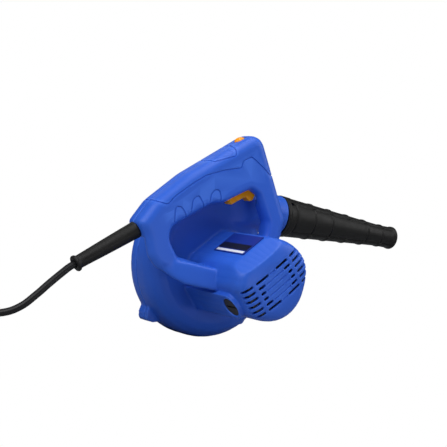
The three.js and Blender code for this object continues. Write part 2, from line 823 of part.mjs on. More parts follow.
function handleCover() {
  const half = handleBody().intersect(
    block([-200, handleMiddle + gap / 2, -100], [200, handleMiddle + 60, 200]));
  return cut(
    half, slab(coverEdge, handleMiddle - 1, handleMiddle + 60),
    barrelOuter(-gap, -20), scrollBody(-gap, scrollNear - gap, coverSplit), duct(-gap),
    ...[-1, 1].map((side) => stadium(bossHalf + gap, 0, capPlace, side * 30, side * (capFace + gap))),
    handleCavity(), triggerSlot(), ...handleScrewHoles,
    rod(onLead(-25), onLead(6), sleeveRadius - 2 + gap, 20),
    rod([triggerPivot[0], handleMiddle - 5, triggerPivot[1]],
      [triggerPivot[0], handleMiddle + handleHalf - 2, triggerPivot[1]], triggerPinRadius + 0.1, 12),
    lockWell(),
  );
}

function fanCover() {
  const lugs = lugAngles.map((angle) => lug(angle, coverSplit + gap, lugFar));
  const collar = turned([
    [intakeRadius - 1, coverFace - wall],
    [intakeRadius + intakeLip, coverFace - wall],
    [intakeRadius + intakeLip, coverFace + intakeDepth],
    [intakeRadius, coverFace + intakeDepth],
    [intakeRadius, coverFace],
    [intakeRadius - 1, coverFace],
    [intakeRadius - 1, coverFace - wall],
  ], 28);
  const shell = join(coverBody(0, coverSplit + gap, coverFace), ...lugs);
  const hollow = coverBody(wall, coverSplit - 1, coverFace - wall);
  const eye = turned([[0, 0], [intakeRadius, 0], [intakeRadius, coverFace + 20], [0, coverFace + 20]], 28);
  const open = cut(shell, hollow, eye);
  const seat = turned([
    [intakeRadius - 3, coverFace - wall - 1.6],
    [intakeRadius + 1, coverFace - wall - 1.6],
    [intakeRadius + 1, coverFace - wall + 0.5],
    [intakeRadius - 3, coverFace - wall + 0.5],
    [intakeRadius - 3, coverFace - wall - 1.6],
  ], 28);
  const ring = cut(collar, turned([[0, 0], [intakeRadius - 0.5, 0], [intakeRadius - 0.5, coverFace + 20],
    [0, coverFace + 20]], 28));
  return cut(join(open, seat, ring), duct(-gap), ...lugScrewHoles);
}

function intakeGrille() {
  const low = coverFace - wall + 0.5 + gap;
  const high = low + 3;
  const ringAt = (radius, width) => turned([
    [radius - width, low],
    [radius, low],
    [radius, high],
    [radius - width, high],
    [radius - width, low],
  ], 28);
  const hub = turned([[0, low], [7, low], [7, high], [0, high]], 20);
  const spokes = Array.from({ length: 9 }, (_, i) => {
    const spoke = new THREE.BoxGeometry(intakeRadius - 7, high - low, 1.8);
    spoke.translate((intakeRadius + 4) / 2, (high + low) / 2, 0);
    spoke.rotateY(rad(40 * i));
    return solid(spoke);
  });
  return join(hub, ...spokes, ringAt(intakeRadius - gap - 0.2, 2.5), ringAt(27, 1.8), ringAt(17, 1.8));
}

// ---------------------------------------------------------------- fan and motor

const hubTop = fanBack + fanPlate + hubLength;
const washerTop = hubTop + gap + 1.5;
const nutTop = washerTop + gap + 5;

function impeller() {
  const front = fanBack + fanPlate;
  const back = turned([
    [0, fanBack],
    [fanRadius, fanBack],
    [fanRadius, front],
    [fanHub + 8, front + 0.5],
    [fanHub + 1, front + 6],
    [fanHub, hubTop],
    [0, hubTop],
  ], 28);
  const steps = 6;
  const blades = Array.from({ length: bladeCount }, (_, i) => {
    const base = (360 * i) / bladeCount;
    const line = Array.from({ length: steps + 1 }, (_unused, k) => {
      const t = k / steps;
      const radius = mix(fanEye, fanRadius - 0.5, t);
      return { angle: base + bladeSweep * t ** 0.8, radius };
    });
    const edge = (side) => line.map(({ angle, radius }) =>
      along(angle + (side * bladeThick * 90) / (Math.PI * radius), radius));
    const ring = [...edge(1), ...edge(-1).reverse()];
    const height = (point) => {
      const t = (Math.hypot(...point) - fanEye) / (fanRadius - fanEye);
      return mix(fanHeight, fanTipHeight, t);
    };
    const low = ring.map(([x, z]) => [x, front - 0.8, z]);
    const high = ring.map((point) => [point[0], front + height(point), point[1]]);
    const triangles = [];
    const count = ring.length;
    for (let k = 0; k < count; k += 1) {
      const next = (k + 1) % count;
      triangles.push(k, next, next + count, k, next + count, k + count);
    }
    for (let k = 0; k < steps; k += 1) {
      const far = count - 1 - k;
      triangles.push(k, far, far - 1, k, far - 1, k + 1);
      triangles.push(k + count, k + 1 + count, far - 1 + count, k + count, far - 1 + count, far + count);
    }
    const geometry = new THREE.BufferGeometry();
    const points = new Float32Array([...low, ...high].flat());
    geometry.setAttribute('position', new THREE.BufferAttribute(points, 3));
    geometry.setIndex(triangles);
    return solid(geometry);
  });
  const bore = turned([[0, fanBack - 1], [shaftRadius + gap, fanBack - 1], [shaftRadius + gap, hubTop + 1],
    [0, hubTop + 1]], 16);
  return cut(join(back, ...blades), bore);
}

const ring = (inner, outer, low, high, sides = 20) => turned([
  [inner, low],
  [outer, low],
  [outer, high],
  [inner, high],
  [inner, low],
], sides);

function rotorShaft() {
  const end = nutTop + 2;
  return turned([
    [0, -shaftFrom],
    [shaftRadius, -shaftFrom],
    [shaftRadius, hubTop - 1.4],
    [threadRadius, hubTop - 0.6],
    [threadRadius, end - 0.8],
    [threadRadius - 0.8, end],
    [0, end],
  ], 16);
}

const impellerNut = () => cut(
  rod([0, washerTop + gap, 0], [0, nutTop, 0], 6.5, 6),
  rod([0, washerTop - 1, 0], [0, nutTop + 1, 0], threadRadius + gap, 16));

function rotorCore() {
  const pitch = 360 / rotorSlots;
  const outline = Array.from({ length: rotorSlots }, (_, i) => [
    [3, rotorRadius],
    [pitch / 2, rotorRadius],
    [pitch - 3, rotorRadius],
    [pitch - 3, rotorRadius - 2],
    [pitch - 9, rotorRadius - 9],
    [pitch + 9, rotorRadius - 9],
    [pitch + 3, rotorRadius - 2],
  ].map(([angle, radius]) => along(pitch * i + angle, radius))).flat();
  const bore = rod([0, -stackTo - 1, 0], [0, -stackFrom + 1, 0], shaftRadius + gap, 20);
  return cut(slab(outline, -stackTo, -stackFrom), bore);
}

// A windings head or commutator riding on the shaft.
const onShaft = (outer, from, to, sides = 28) => ring(shaftRadius + gap, outer, -to, -from, sides);

// A pie slice of a tube along the motor, in its own section.
function sector(inner, outer, startAngle, endAngle, m0, m1) {
  const outline = new THREE.Shape();
  outline.absarc(0, 0, outer, rad(startAngle), rad(endAngle), false);
  outline.absarc(0, 0, inner, rad(endAngle), rad(startAngle), true);
  outline.closePath();
  return tiltedSlab(outline, m0, m1, 9);
}

function fieldStator() {
  const yoke = ring(statorBore, statorRadius, -stackTo, -stackFrom, 28);
  const windows = [0, 180].map((middle) => sector(
    statorBore - 2, statorRadius - yokeWall, middle - poleHalfAngle + 4, middle + poleHalfAngle - 4,
    stackFrom - 1, stackTo + 1));
  const flat = barrelFlat - wall - gap;
  const round = motorBlock([-(barrelSide - wall - gap), 60], [-flat, flat], [stackFrom - 1, stackTo + 1]);
  return cut(yoke.intersect(round), ...windows);
}

function fieldCoil(side) {
  const middle = side > 0 ? 90 : 270;
  const inner = statorRadius - yokeWall - gap - coilWall;
  const outer = statorRadius - yokeWall - gap;
  const reach = 90 - 12;
  const saddle = sector(inner, outer, middle - reach, middle + reach, stackFrom - coilOverhang,
    stackTo + coilOverhang);
  const poleWindow = sector(inner - 2, outer + 2, middle - (90 - poleHalfAngle + 4) - 1.5,
    middle + (90 - poleHalfAngle + 4) + 1.5, stackFrom - gap, stackTo + gap);
  return cut(saddle, poleWindow);
}

const holderInner = commutatorRadius + 1.5;
const holderOuter = capFace - capDepth - 1;

function brushHolder(side) {
  const half = (size) => size / 2 + gap + holderWall;
  const limits = [side * holderInner, side * holderOuter].sort((a, b) => a - b);
  const tube = motorBlock(limits, [-half(brushWide), half(brushWide)],
    [capPlace - half(brushLong), capPlace + half(brushLong)]);
  const bore = motorBlock([limits[0] - 1, limits[1] + 1], [-brushWide / 2 - gap, brushWide / 2 + gap],
    [capPlace - brushLong / 2 - gap, capPlace + brushLong / 2 + gap]);
  return cut(tube, bore);
}

function carbonBrush(side) {
  const limits = [side * (commutatorRadius + gap), side * (commutatorRadius + brushReach)].sort((a, b) => a - b);
  return motorBlock(limits, [-brushWide / 2, brushWide / 2], [capPlace - brushLong / 2, capPlace + brushLong / 2]);
}

const brushSpring = (side) => spring(
  motorPoint(side * (commutatorRadius + brushReach + gap), 0, capPlace),
  motorPoint(side * (capFace - capDepth - gap), 0, capPlace), 2.3, 0.5, 3);

function brushCap(side) {
  const plug = motorRod(side * (capFace - capDepth + gap), side * (capFace - 1), capPlace, capRadius, 20);
  const slot = motorBlock([side * (capFace - 2.6), side * (capFace + 1)].sort((a, b) => a - b),
    [-1, 1], [capPlace - capRadius * 0.72, capPlace + capRadius * 0.72]);
  return cut(plug, slot);
}

// ---------------------------------------------------------------- nozzle

function nozzle() {
  const nozzleBore = spigotRadius + nozzleFit;
  const start = collarEnd + gap;
  const radiusAt = (s) => nozzleRoot - nozzleSlope * Math.min(s, nozzleLength - nozzleTipLength);
  const outer = [[radiusAt(0) - 0.8, 0], [radiusAt(0), 1.2]];
  for (let i = 0; i < ringCount; i += 1) {
    const place = ringFirst + ringPitch * i;
    const half = ringWidth / 2;
    outer.push([radiusAt(place - half) - 0.2, place - half - 0.8]);
    outer.push([radiusAt(place - half) + ringProud, place - half + 0.8]);
    outer.push([radiusAt(place + half) + ringProud, place + half - 0.8]);
    outer.push([radiusAt(place + half) - 0.2, place + half + 0.8]);
  }
  const tip = radiusAt(nozzleLength);
  outer.push([tip + nozzleTipFlare, nozzleLength - 5]);
  outer.push([tip + nozzleTipFlare, nozzleLength - 1]);
  outer.push([tip + nozzleTipFlare - 1, nozzleLength]);
  const seat = spigotLength + 1;
  const inner = [
    [tip - nozzleTipWall, nozzleLength],
    [tip - nozzleTipWall, nozzleLength - nozzleTipLength],
    [radiusAt(seat + 14) - 3.2, seat + 14],
    [nozzleBore - 2.6, seat + 2],
    [nozzleBore, seat],
    [nozzleBore, 0],
  ];
  const profile = [...outer, ...inner, outer[0]].map(([radius, s]) => [radius, start + s]);
  const groove = studRadius + gap;
  const grooveDepthRadius = spigotRadius + studProud + gap;
  const track = (from, to, x0, x1) => {
    const outline = new THREE.Shape();
    outline.absarc(0, 0, grooveDepthRadius, rad(from), rad(to), false);
    outline.absarc(0, 0, nozzleBore - 1.5, rad(to), rad(from), true);
    outline.closePath();
    const geometry = new THREE.ExtrudeGeometry(outline, { depth: x1 - x0, bevelEnabled: false, curveSegments: 6 });
    geometry.rotateX(Math.PI / 2);
    geometry.rotateZ(Math.PI / 2);
    geometry.translate(x0, 0, outletHeight);
    return solid(geometry);
  };
  const grooveHalfAngle = (groove / nozzleBore) * (180 / Math.PI) + 0.8;
  const centre = collarEnd + studPlace;
  const cuts = [0, 180].flatMap((side) => [
    track(side - twistAngle - grooveHalfAngle, side + grooveHalfAngle, centre - groove, centre + groove),
    track(side - twistAngle - grooveHalfAngle, side - twistAngle + grooveHalfAngle, start - 1, centre),
  ]);
  const sightHole = rod([centre, -nozzleRoot - 2, outletHeight], [centre, nozzleRoot + 2, outletHeight], 1.6, 12);
  return cut(turnedAlongX(profile), ...cuts, sightHole);
}

// ---------------------------------------------------------------- controls and lead

function trigger() {
  const body = roundedSlab(triggerOutline, triggerLow, triggerHigh, 1.6, 1);
  const hole = rod([triggerPivot[0], -80, triggerPivot[1]], [triggerPivot[0], 0, triggerPivot[1]],
    triggerPinRadius + gap, 14);
  return cut(body, hole);
}

const switchLow = [-31, 102.5];
const switchHigh = [-1, 121];

function switchBody() {
  return block([switchLow[0], handleMiddle - 9, switchLow[1]], [switchHigh[0], handleMiddle + 9, switchHigh[1]]);
}

function lockButton() {
  const pad = lockOval(lockLength, lockWidth, -9, lockProud, 1.2);
  return pad;
}

function strainRelief() {
  const turns = 6;
  const profile = [[0, -7], [sleeveRadius - 2, -7], [sleeveRadius - 2, 1.2], [sleeveRadius + 1, 1.2],
    [sleeveRadius + 1, 3.5], [sleeveRadius, 4.5]];
  const pitch = (sleeveLength - 10) / turns;
  for (let i = 0; i < turns; i += 1) {
    const at = 6 + pitch * i;
    const radius = mix(sleeveRadius, sleeveTipRadius, at / sleeveLength);
    profile.push([radius, at], [radius - 0.1, at + pitch - 1.8], [radius - 1, at + pitch - 1.5],
      [radius - 1, at + pitch - 0.5]);
  }
  profile.push([sleeveTipRadius, sleeveLength - 3.5], [sleeveTipRadius + 1.6, sleeveLength - 3],
    [sleeveTipRadius + 1.6, sleeveLength - 0.6], [sleeveTipRadius + 1, sleeveLength], [0, sleeveLength]);
  const geometry = new THREE.LatheGeometry(profile.map(([r, s]) => new THREE.Vector2(r, s)), 14);
  const turn = new THREE.Quaternion().setFromUnitVectors(
    new THREE.Vector3(0, 1, 0), new THREE.Vector3(...sleeveDirection));
  geometry.applyQuaternion(turn);
  geometry.translate(sleeveSeat[0], handleMiddle, sleeveSeat[1]);
  return solid(geometry);
}

// A bare plate for a label, on the flat top of the motor housing.
const labelPlate = () => motorBlock(labelAcross, [barrelFlat + gap, barrelFlat + gap + 0.6], labelAlong);

// A coil spring between two points.
function spring(from, to, radius, wireRadius, turns) {
  const start = new THREE.Vector3(...from);
  const axis = new THREE.Vector3(...to).sub(start);
  const turn = new THREE.Quaternion().setFromUnitVectors(new THREE.Vector3(0, 1, 0), axis.clone().normalize());
  const steps = turns * 7;
  const reach = axis.length() - 2 * wireRadius;
  const points = Array.from({ length: steps + 1 }, (_, i) => {
    const [x, z] = along((360 * turns * i) / steps, radius);
    return new THREE.Vector3(x, wireRadius + (reach * i) / steps, z).applyQuaternion(turn).add(start);
  });
  const wire = new THREE.Shape();
  wire.absarc(0, 0, wireRadius, 0, 2 * Math.PI, false);
  const path = new THREE.CatmullRomCurve3(points);
  return solid(new THREE.ExtrudeGeometry(wire, { steps, extrudePath: path, curveSegments: 3 }));
}

// ---------------------------------------------------------------- lead

const floorLevel = Math.min(...Array.from({ length: scrollSteps }, (_, i) =>
  scrollSection(0, 0)[i][2]), ...lugPlaces.map(([, z]) => z - lugRadius));

// A round cord through the given points, as a tube of short straight lengths.
function cordTube(points, steps) {
  const path = new THREE.CatmullRomCurve3(points.map((point) => new THREE.Vector3(...point)));
  const section = new THREE.Shape();
  section.absarc(0, 0, cordRadius, 0, 2 * Math.PI, false);
  return solid(new THREE.ExtrudeGeometry(section, { steps, extrudePath: path, curveSegments: 5 }));
}

const coilHeight = 2 * cordRadius * coilTurnsHigh;
const coilInner = coilOuter - 2 * cordRadius * coilTurnsWide;

// A point on the floor beside the coil, at this angle and distance from its rim.
function besideCoil(angle, distance) {
  const [x, y] = along(angle, coilOuter + distance);
  return [coilCentre[0] + x, coilCentre[1] + y, floorLevel + cordRadius];
}

const cordLead = () => cordTube([
  onLead(sleeveLength + 2 * gap),
  ...cordRoute.map(([x, y, height]) => [x, y, floorLevel + height]),
  besideCoil(-93, 12),
  besideCoil(-97, gap + 0.9),
], 16);

function cordCoil() {
  const profile = [
    [coilInner, 0],
    [coilOuter, 0],
    [coilOuter, coilHeight],
    [coilInner, coilHeight],
    [coilInner, 0],
  ].map(([radius, height]) => new THREE.Vector2(radius, height));
  const geometry = new THREE.LatheGeometry(profile, 28);
  geometry.rotateX(Math.PI / 2);
  geometry.translate(coilCentre[0], coilCentre[1], floorLevel);
  return solid(geometry);
}

const plugWay = along(plugTurn);

// A point of the plug: u along it from the lead's entry, v across it, w above the floor.
const plugPoint = (u, v, w) => [
  plugPlace[0] + u * plugWay[0] - v * plugWay[1],
  plugPlace[1] + u * plugWay[1] + v * plugWay[0],
  floorLevel + w,
];

// The lead is wound clockwise, so it leaves the coil that way round.
const cordTail = () => cordTube([besideCoil(100, gap + 2.1), besideCoil(94, 9),
  plugPoint(-15, 0, cordRadius + 0.2), plugPoint(-6, 0, plugThick / 2 - 0.5),
  plugPoint(-2 * gap, 0, plugThick / 2)], 8);

function plugBody() {
  const half = [
    [0, plugNeck / 2, 0.36],
    [plugLength * 0.3, plugNeck / 2 + 1.5, 0.42],
    [plugLength * 0.55, plugWide / 2, 0.5],
    [plugLength, plugWide / 2, 0.5],
  ];
  return loft(half.map(([u, v, share]) => {
    const w = plugThick * share;
    const middle = plugThick / 2;
    const corner = 3;
    return [
      [-v + corner, -w], [v - corner, -w], [v, -w + corner], [v, w - corner],
      [v - corner, w], [-v + corner, w], [-v, w - corner], [-v, -w + corner],
    ].map(([across, up]) => plugPoint(u, across, middle + up));
  }));
}

const plugPin = (side) => rod(plugPoint(plugLength + gap, (side * pinSpacing) / 2, plugThick / 2),
  plugPoint(plugLength + pinLength, (side * pinSpacing) / 2, plugThick / 2), pinRadius, 10);

// ---------------------------------------------------------------- the object

const paint = {
  blue: new THREE.MeshStandardMaterial({ color: 0x2f55d4, roughness: 0.45, metalness: 0 }),
  orange: new THREE.MeshStandardMaterial({ color: 0xf08a0c, roughness: 0.4, metalness: 0 }),
  rubber: new THREE.MeshStandardMaterial({ color: 0x1c1917, roughness: 0.8, metalness: 0 }),
  black: new THREE.MeshStandardMaterial({ color: 0x17181a, roughness: 0.5, metalness: 0 }),
  steel: new THREE.MeshStandardMaterial({ color: 0xb9bcc2, roughness: 0.3, metalness: 1 }),
  zinc: new THREE.MeshStandardMaterial({ color: 0x8d9196, roughness: 0.4, metalness: 1 }),
  copper: new THREE.MeshStandardMaterial({ color: 0xb5652b, roughness: 0.4, metalness: 1 }),
  brass: new THREE.MeshStandardMaterial({ color: 0xc8a24a, roughness: 0.35, metalness: 1 }),
  label: new THREE.MeshStandardMaterial({ color: 0x23306b, roughness: 0.5, metalness: 0 }),
  carbon: new THREE.MeshStandardMaterial({ color: 0x2b2b2d, roughness: 0.7, metalness: 0 }),
};

const blower = new THREE.Group();
const leadPieces = new THREE.Group();

function place(name, body, material, group = blower) {
  const mesh = new THREE.Mesh(surface(body), material);
  mesh.name = name;
  group.add(mesh);
  return mesh;
}

place('motor_housing', mainHousing(), paint.blue);
place('handle_cover', handleCover(), paint.blue);
place('fan_cover', fanCover(), paint.blue);
place('intake_grille', intakeGrille(), paint.blue);
place('impeller', impeller(), paint.black);
place('impeller_washer', ring(threadRadius + gap, 9, hubTop + gap, washerTop), paint.zinc);
place('impeller_nut', impellerNut(), paint.zinc);
place('rotor_shaft', rotorShaft(), paint.steel);
place('rotor_core', rotorCore(), paint.steel);
place('rotor_winding_fan_end', onShaft(windingRadius, stackFrom - 7, stackFrom - gap), paint.copper);
place('rotor_winding_brush_end', onShaft(windingRadius, stackTo + gap, stackTo + 7), paint.copper);
place('commutator', onShaft(commutatorRadius, capPlace - commutatorLength / 2, capPlace + commutatorLength / 2, 24),
  paint.copper);
place('bearing_brush_end', ring(shaftRadius + gap, bearingOuter, -bearingEndPlace - bearingWidth,
  -bearingEndPlace), paint.steel);
place('bearing_cup', ring(bearingOuter + gap, bearingOuter + 2, -bearingEndPlace - bearingWidth,
  -bearingEndPlace), paint.rubber);
place('bearing_fan_end', ring(shaftRadius + gap, bearingOuter, -bearingFanPlace - bearingWidth,
  -bearingFanPlace), paint.steel);
place('field_stator', fieldStator(), paint.steel);
place('field_coil_top', fieldCoil(1), paint.copper);
place('field_coil_bottom', fieldCoil(-1), paint.copper);
for (const [name, side] of [['rear', -1], ['front', 1]]) {
  place(`brush_holder_${name}`, brushHolder(side), paint.brass);
  place(`carbon_brush_${name}`, carbonBrush(side), paint.carbon);
  place(`brush_spring_${name}`, brushSpring(side), paint.steel);
  place(`brush_cap_${name}`, brushCap(side), paint.black);
}
place('nozzle', nozzle(), paint.rubber);
place('trigger', trigger(), paint.orange);
place('trigger_pin', rod([triggerPivot[0], handleMiddle - handleHalf + 2.3, triggerPivot[1]],
  [triggerPivot[0], handleMiddle + handleHalf - 2.3, triggerPivot[1]], triggerPinRadius, 12), paint.zinc);
place('switch_body', switchBody(), paint.black);
place('lock_button', lockButton(), paint.orange);
place('label_plate', labelPlate(), paint.label);
place('strain_relief', strainRelief(), paint.rubber);
handleScrewPlaces.forEach((at, i) =>
  place(`handle_screw_${i + 1}`, screw(at, handleScrewHead, handleScrewTip), paint.zinc));
lugPlaces.forEach((at, i) =>
  place(`cover_screw_${i + 1}`, screw(at, lugScrewHead, lugScrewTip), paint.zinc));

place('cord_lead', cordLead(), paint.rubber, leadPieces);
place('cord_coil', cordCoil(), paint.rubber, leadPieces);
place('cord_tail', cordTail(), paint.rubber, leadPieces);
place('plug_body', plugBody(), paint.rubber, leadPieces);
place('plug_pin_1', plugPin(-1), paint.brass, leadPieces);
place('plug_pin_2', plugPin(1), paint.brass, leadPieces);

const bounds = new THREE.Box3().setFromObject(blower);
const middle = bounds.getCenter(new THREE.Vector3());
const object = new THREE.Group();
object.add(blower, leadPieces);
object.position.set(-middle.x, -middle.y, -bounds.min.z);
object.updateMatrixWorld(true);

export default object;
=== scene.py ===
# Looks for a hand-held electric blower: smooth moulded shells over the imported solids, a ribbed rubber
# nozzle, the mains lead with its coil and plug, materials, studio light and camera.
# Lengths are drawn in millimetres about the motor axis, as in the part's source, and `at` turns them
# into metres of the shared frame.
import json
import math

import bmesh
import bpy
import numpy as np
from mathutils import Matrix, Vector
from mathutils.bvhtree import BVHTree
from mathutils.kdtree import KDTree


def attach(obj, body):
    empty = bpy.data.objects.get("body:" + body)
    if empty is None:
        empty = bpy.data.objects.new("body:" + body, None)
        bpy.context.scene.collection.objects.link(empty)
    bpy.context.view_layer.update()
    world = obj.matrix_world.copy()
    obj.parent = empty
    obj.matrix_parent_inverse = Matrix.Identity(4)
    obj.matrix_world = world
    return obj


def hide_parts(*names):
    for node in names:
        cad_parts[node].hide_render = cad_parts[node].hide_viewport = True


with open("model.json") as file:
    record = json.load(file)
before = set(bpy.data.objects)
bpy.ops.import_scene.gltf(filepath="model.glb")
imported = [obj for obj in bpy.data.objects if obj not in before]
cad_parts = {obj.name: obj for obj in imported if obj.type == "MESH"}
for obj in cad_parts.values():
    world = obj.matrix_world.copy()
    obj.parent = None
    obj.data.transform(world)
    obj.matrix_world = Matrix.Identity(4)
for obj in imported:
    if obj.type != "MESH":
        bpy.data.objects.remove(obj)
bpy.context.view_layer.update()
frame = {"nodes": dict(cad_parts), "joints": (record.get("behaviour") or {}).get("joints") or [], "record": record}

MM = 0.001
JOINTS = {joint["name"]: joint for joint in frame["joints"]}
ORIGIN = np.array(JOINTS["rotor_spin"]["pos_m"])  # the motor axis, where the drawing has its zero
COARSE = 1  # a trial run makes its shells from bigger voxels

# ---------------------------------------------------------------- sizes of the drawing

SCROLL_STEPS = 36  # straight sides of the source's round casings
COLLAR_STEPS = 28
SCROLL_NEAR = -15  # y of the casing's wall on the motor side
COVER_FACE = 34
HANDLE_MIDDLE = -36
HANDLE_NEAR = -52
OUTLET_HEIGHT = 70.3
NOZZLE_START = 70
BRUSH_TILT = 43
CORD_RADIUS = 3.5
COIL_CENTRE = (-262, 50)
COIL_OUTER = 48.5
COIL_START = -133.5  # degrees, where the lead runs into the coil
COIL_END = 112 - 360 * 6
COIL_STEPS = 20  # points a turn
COIL_CROSSING = 0.6  # the share of a turn in which the lead changes lane
CLIMB_CLEARANCE = 2
FLOOR = -ORIGIN[2] / MM  # height of the floor in the drawing


def at(points):
    """Places of the drawing, in metres of the shared frame."""
    return np.asarray(points, float) * MM + ORIGIN


def drawn(points):
    """Places of the shared frame, in millimetres of the drawing."""
    return (np.asarray(points, float) - ORIGIN) / MM


def ramp(value, low, high):
    """0 below low and 1 above high, with a smooth rise between."""
    t = np.clip((value - low) / (high - low), 0, 1)
    return t * t * (3 - 2 * t)


# ---------------------------------------------------------------- camera

CAMERA_AZIMUTH = -34.76
CAMERA_ELEVATION = -1.36
CAMERA_ROLL = 9.51
CAMERA_DISTANCE = 1151.2
AIM_RIGHT = 10.58  # the point aimed at, across and up the picture from the motor axis
AIM_UP = 50.45
LENS = 88.6
SENSOR = 36


def make_camera():
    azimuth, elevation, roll = (
        math.radians(a) for a in (CAMERA_AZIMUTH, CAMERA_ELEVATION, CAMERA_ROLL)
    )
    back = Vector((
        math.sin(azimuth) * math.cos(elevation),
        -math.cos(azimuth) * math.cos(elevation),
        math.sin(elevation),
    ))
    level = Vector((math.cos(azimuth), math.sin(azimuth), 0))
    upright = back.cross(level)
    right = level * math.cos(roll) + upright * math.sin(roll)
    up = upright * math.cos(roll) - level * math.sin(roll)
    eye = right * AIM_RIGHT + up * AIM_UP + back * CAMERA_DISTANCE
    camera = bpy.data.objects.new("camera", bpy.data.cameras.new("camera"))
    camera.data.lens = LENS
    camera.data.sensor_width = SENSOR
    camera.data.clip_end = 100
    turn = Matrix((right, up, back)).transposed().to_4x4()
    camera.matrix_world = Matrix.Translation(Vector(at(eye))) @ turn
    bpy.context.scene.collection.objects.link(camera)
    bpy.context.scene.camera = camera


# ---------------------------------------------------------------- materials


def principled(name, colour, roughness, metallic=0.0, **sockets):
    material = bpy.data.materials.new(name)
    material.use_nodes = True
    shader = material.node_tree.nodes["Principled BSDF"]
    shader.inputs["Base Color"].default_value = (*colour, 1)
    shader.inputs["Roughness"].default_value = roughness
    shader.inputs["Metallic"].default_value = metallic
    for socket, value in sockets.items():
        shader.inputs[socket.replace("_", " ")].default_value = value
    return material


def node(material, kind, **inputs):
    """A new node with the values of its inputs, or the outputs linked to them."""
    made = material.node_tree.nodes.new(kind)
    for name, value in inputs.items():
        socket = made.inputs[name.replace("_", " ")]
        if isinstance(value, bpy.types.NodeSocket):
            material.node_tree.links.new(value, socket)
        else:
            socket.default_value = value
    return made


def shader_of(material):
    return material.node_tree.nodes["Principled BSDF"]


def link(material, output, socket):
    material.node_tree.links.new(output, shader_of(material).inputs[socket])


def place_of(material):
    return node(material, "ShaderNodeTexCoord").outputs["Object"]


def noise(material, scale, detail=3.0, rough=0.55, vector=None):
    vector = vector or place_of(material)
    return node(
        material, "ShaderNodeTexNoise", Vector=vector, Scale=scale, Detail=detail, Roughness=rough
    ).outputs["Fac"]


def mixed(material, share, first, second):
    """A colour between two others, by a share."""
    made = material.node_tree.nodes.new("ShaderNodeMix")
    made.data_type = "RGBA"
    sockets = (made.inputs[0], made.inputs[6], made.inputs[7])
    for socket, value in zip(sockets, (share, first, second)):
        if isinstance(value, bpy.types.NodeSocket):
            material.node_tree.links.new(value, socket)
        elif isinstance(value, tuple):
            socket.default_value = (*value, 1)
        else:
            socket.default_value = value
    return made.outputs[2]


def mapped(material, value, low, high, to_low, to_high):
    return node(
        material, "ShaderNodeMapRange",
        Value=value, From_Min=low, From_Max=high, To_Min=to_low, To_Max=to_high,
    ).outputs["Result"]


def bumped(material, height, strength, distance):
    made = node(material, "ShaderNodeBump", Height=height, Strength=strength, Distance=distance)
    link(material, made.outputs["Normal"], "Normal")


def edge_wear_and_sheen(material, amount):
    """How far a place stands out as an edge, from 0 to amount; it lightens edges, partly as wear and partly as a
    painted highlight.
    """
    pointed = node(material, "ShaderNodeNewGeometry").outputs["Pointiness"]
    return mapped(material, pointed, 0.505, 0.56, 0.0, amount)


def tinted(colour, factor):
    return tuple(min(1.0, c * factor) for c in colour)


def moulded_plastic(name, colour, roughness, grain=1400, depth=0.00006, edge=None, depth_of_light=0.0):
    """Injection-moulded plastic: fine spark-eroded grain, faint flow marks and lighter edges, partly rubbed and
    partly a painted highlight.
    """
    material = principled(name, colour, roughness, Specular_IOR_Level=0.3)
    if depth_of_light:
        shader = shader_of(material)
        shader.inputs["Subsurface Weight"].default_value = depth_of_light
        shader.inputs["Subsurface Radius"].default_value = (1.0, 0.5, 0.1)
        shader.inputs["Subsurface Scale"].default_value = 0.004
    cloud = noise(material, 14, 2)
    shade = mixed(material, cloud, tinted(colour, 0.93), tinted(colour, 1.07))
    # Lighter colour on the edges: partly rubbed wear, partly a painted highlight (sheen).
    shade = mixed(material, edge_wear_and_sheen(material, 0.35), shade, edge or tinted(colour, 1.5))
    link(material, shade, "Base Color")
    smear = noise(material, 55, 4)
    link(material, mapped(material, smear, 0.3, 0.7, roughness - 0.04, roughness + 0.05), "Roughness")
    bumped(material, noise(material, grain, 2), 0.22, depth)
    return material


def rubber(name, colour, roughness, grain=900, depth=0.00012):
    """Moulded rubber or soft PVC: a dull, slightly dusty skin."""
    material = principled(name, colour, roughness, Specular_IOR_Level=0.27)
    dust = noise(material, 38, 5, 0.65)
    link(material, mixed(material, dust, tinted(colour, 0.8), tinted(colour, 1.35)), "Base Color")
    patches = noise(material, 90, 3)
    link(material, mapped(material, patches, 0.3, 0.7, roughness - 0.06, roughness + 0.08), "Roughness")
    bumped(material, noise(material, grain, 3), 0.3, depth)
    return material


def metal(name, colour, roughness, stretch=(1, 1, 1), scale=700):
    """Drawn, turned or plated metal with fine marks along one direction."""
    material = principled(name, colour, roughness, 1.0)
    stretched = node(
        material, "ShaderNodeMapping", Vector=place_of(material), Scale=stretch
    ).outputs["Vector"]
    marks = noise(material, scale, 4, 0.6, stretched)
    link(material, mixed(material, marks, tinted(colour, 0.85), tinted(colour, 1.1)), "Base Color")
    link(material, mapped(material, marks, 0.3, 0.7, roughness - 0.06, roughness + 0.1), "Roughness")
    bumped(material, marks, 0.15, 0.00003)
    return material


def copper_winding():
    """Enamelled wire laid in rows."""
    # Much darker than bare copper: painted shade for the windings deep inside the barrel, behind the slots.
    colour = (0.30, 0.09, 0.03)
    material = principled("copper", colour, 0.3, 0.9)
    wires = material.node_tree.nodes.new("ShaderNodeTexWave")
    wires.inputs["Scale"].default_value = 320
    wires.inputs["Distortion"].default_value = 1.5
    material.node_tree.links.new(place_of(material), wires.inputs["Vector"])
    shade = mixed(material, wires.outputs["Fac"], tinted(colour, 0.5), tinted(colour, 1.2))
    link(material, shade, "Base Color")
    bumped(material, wires.outputs["Fac"], 0.6, 0.0003)
    return material


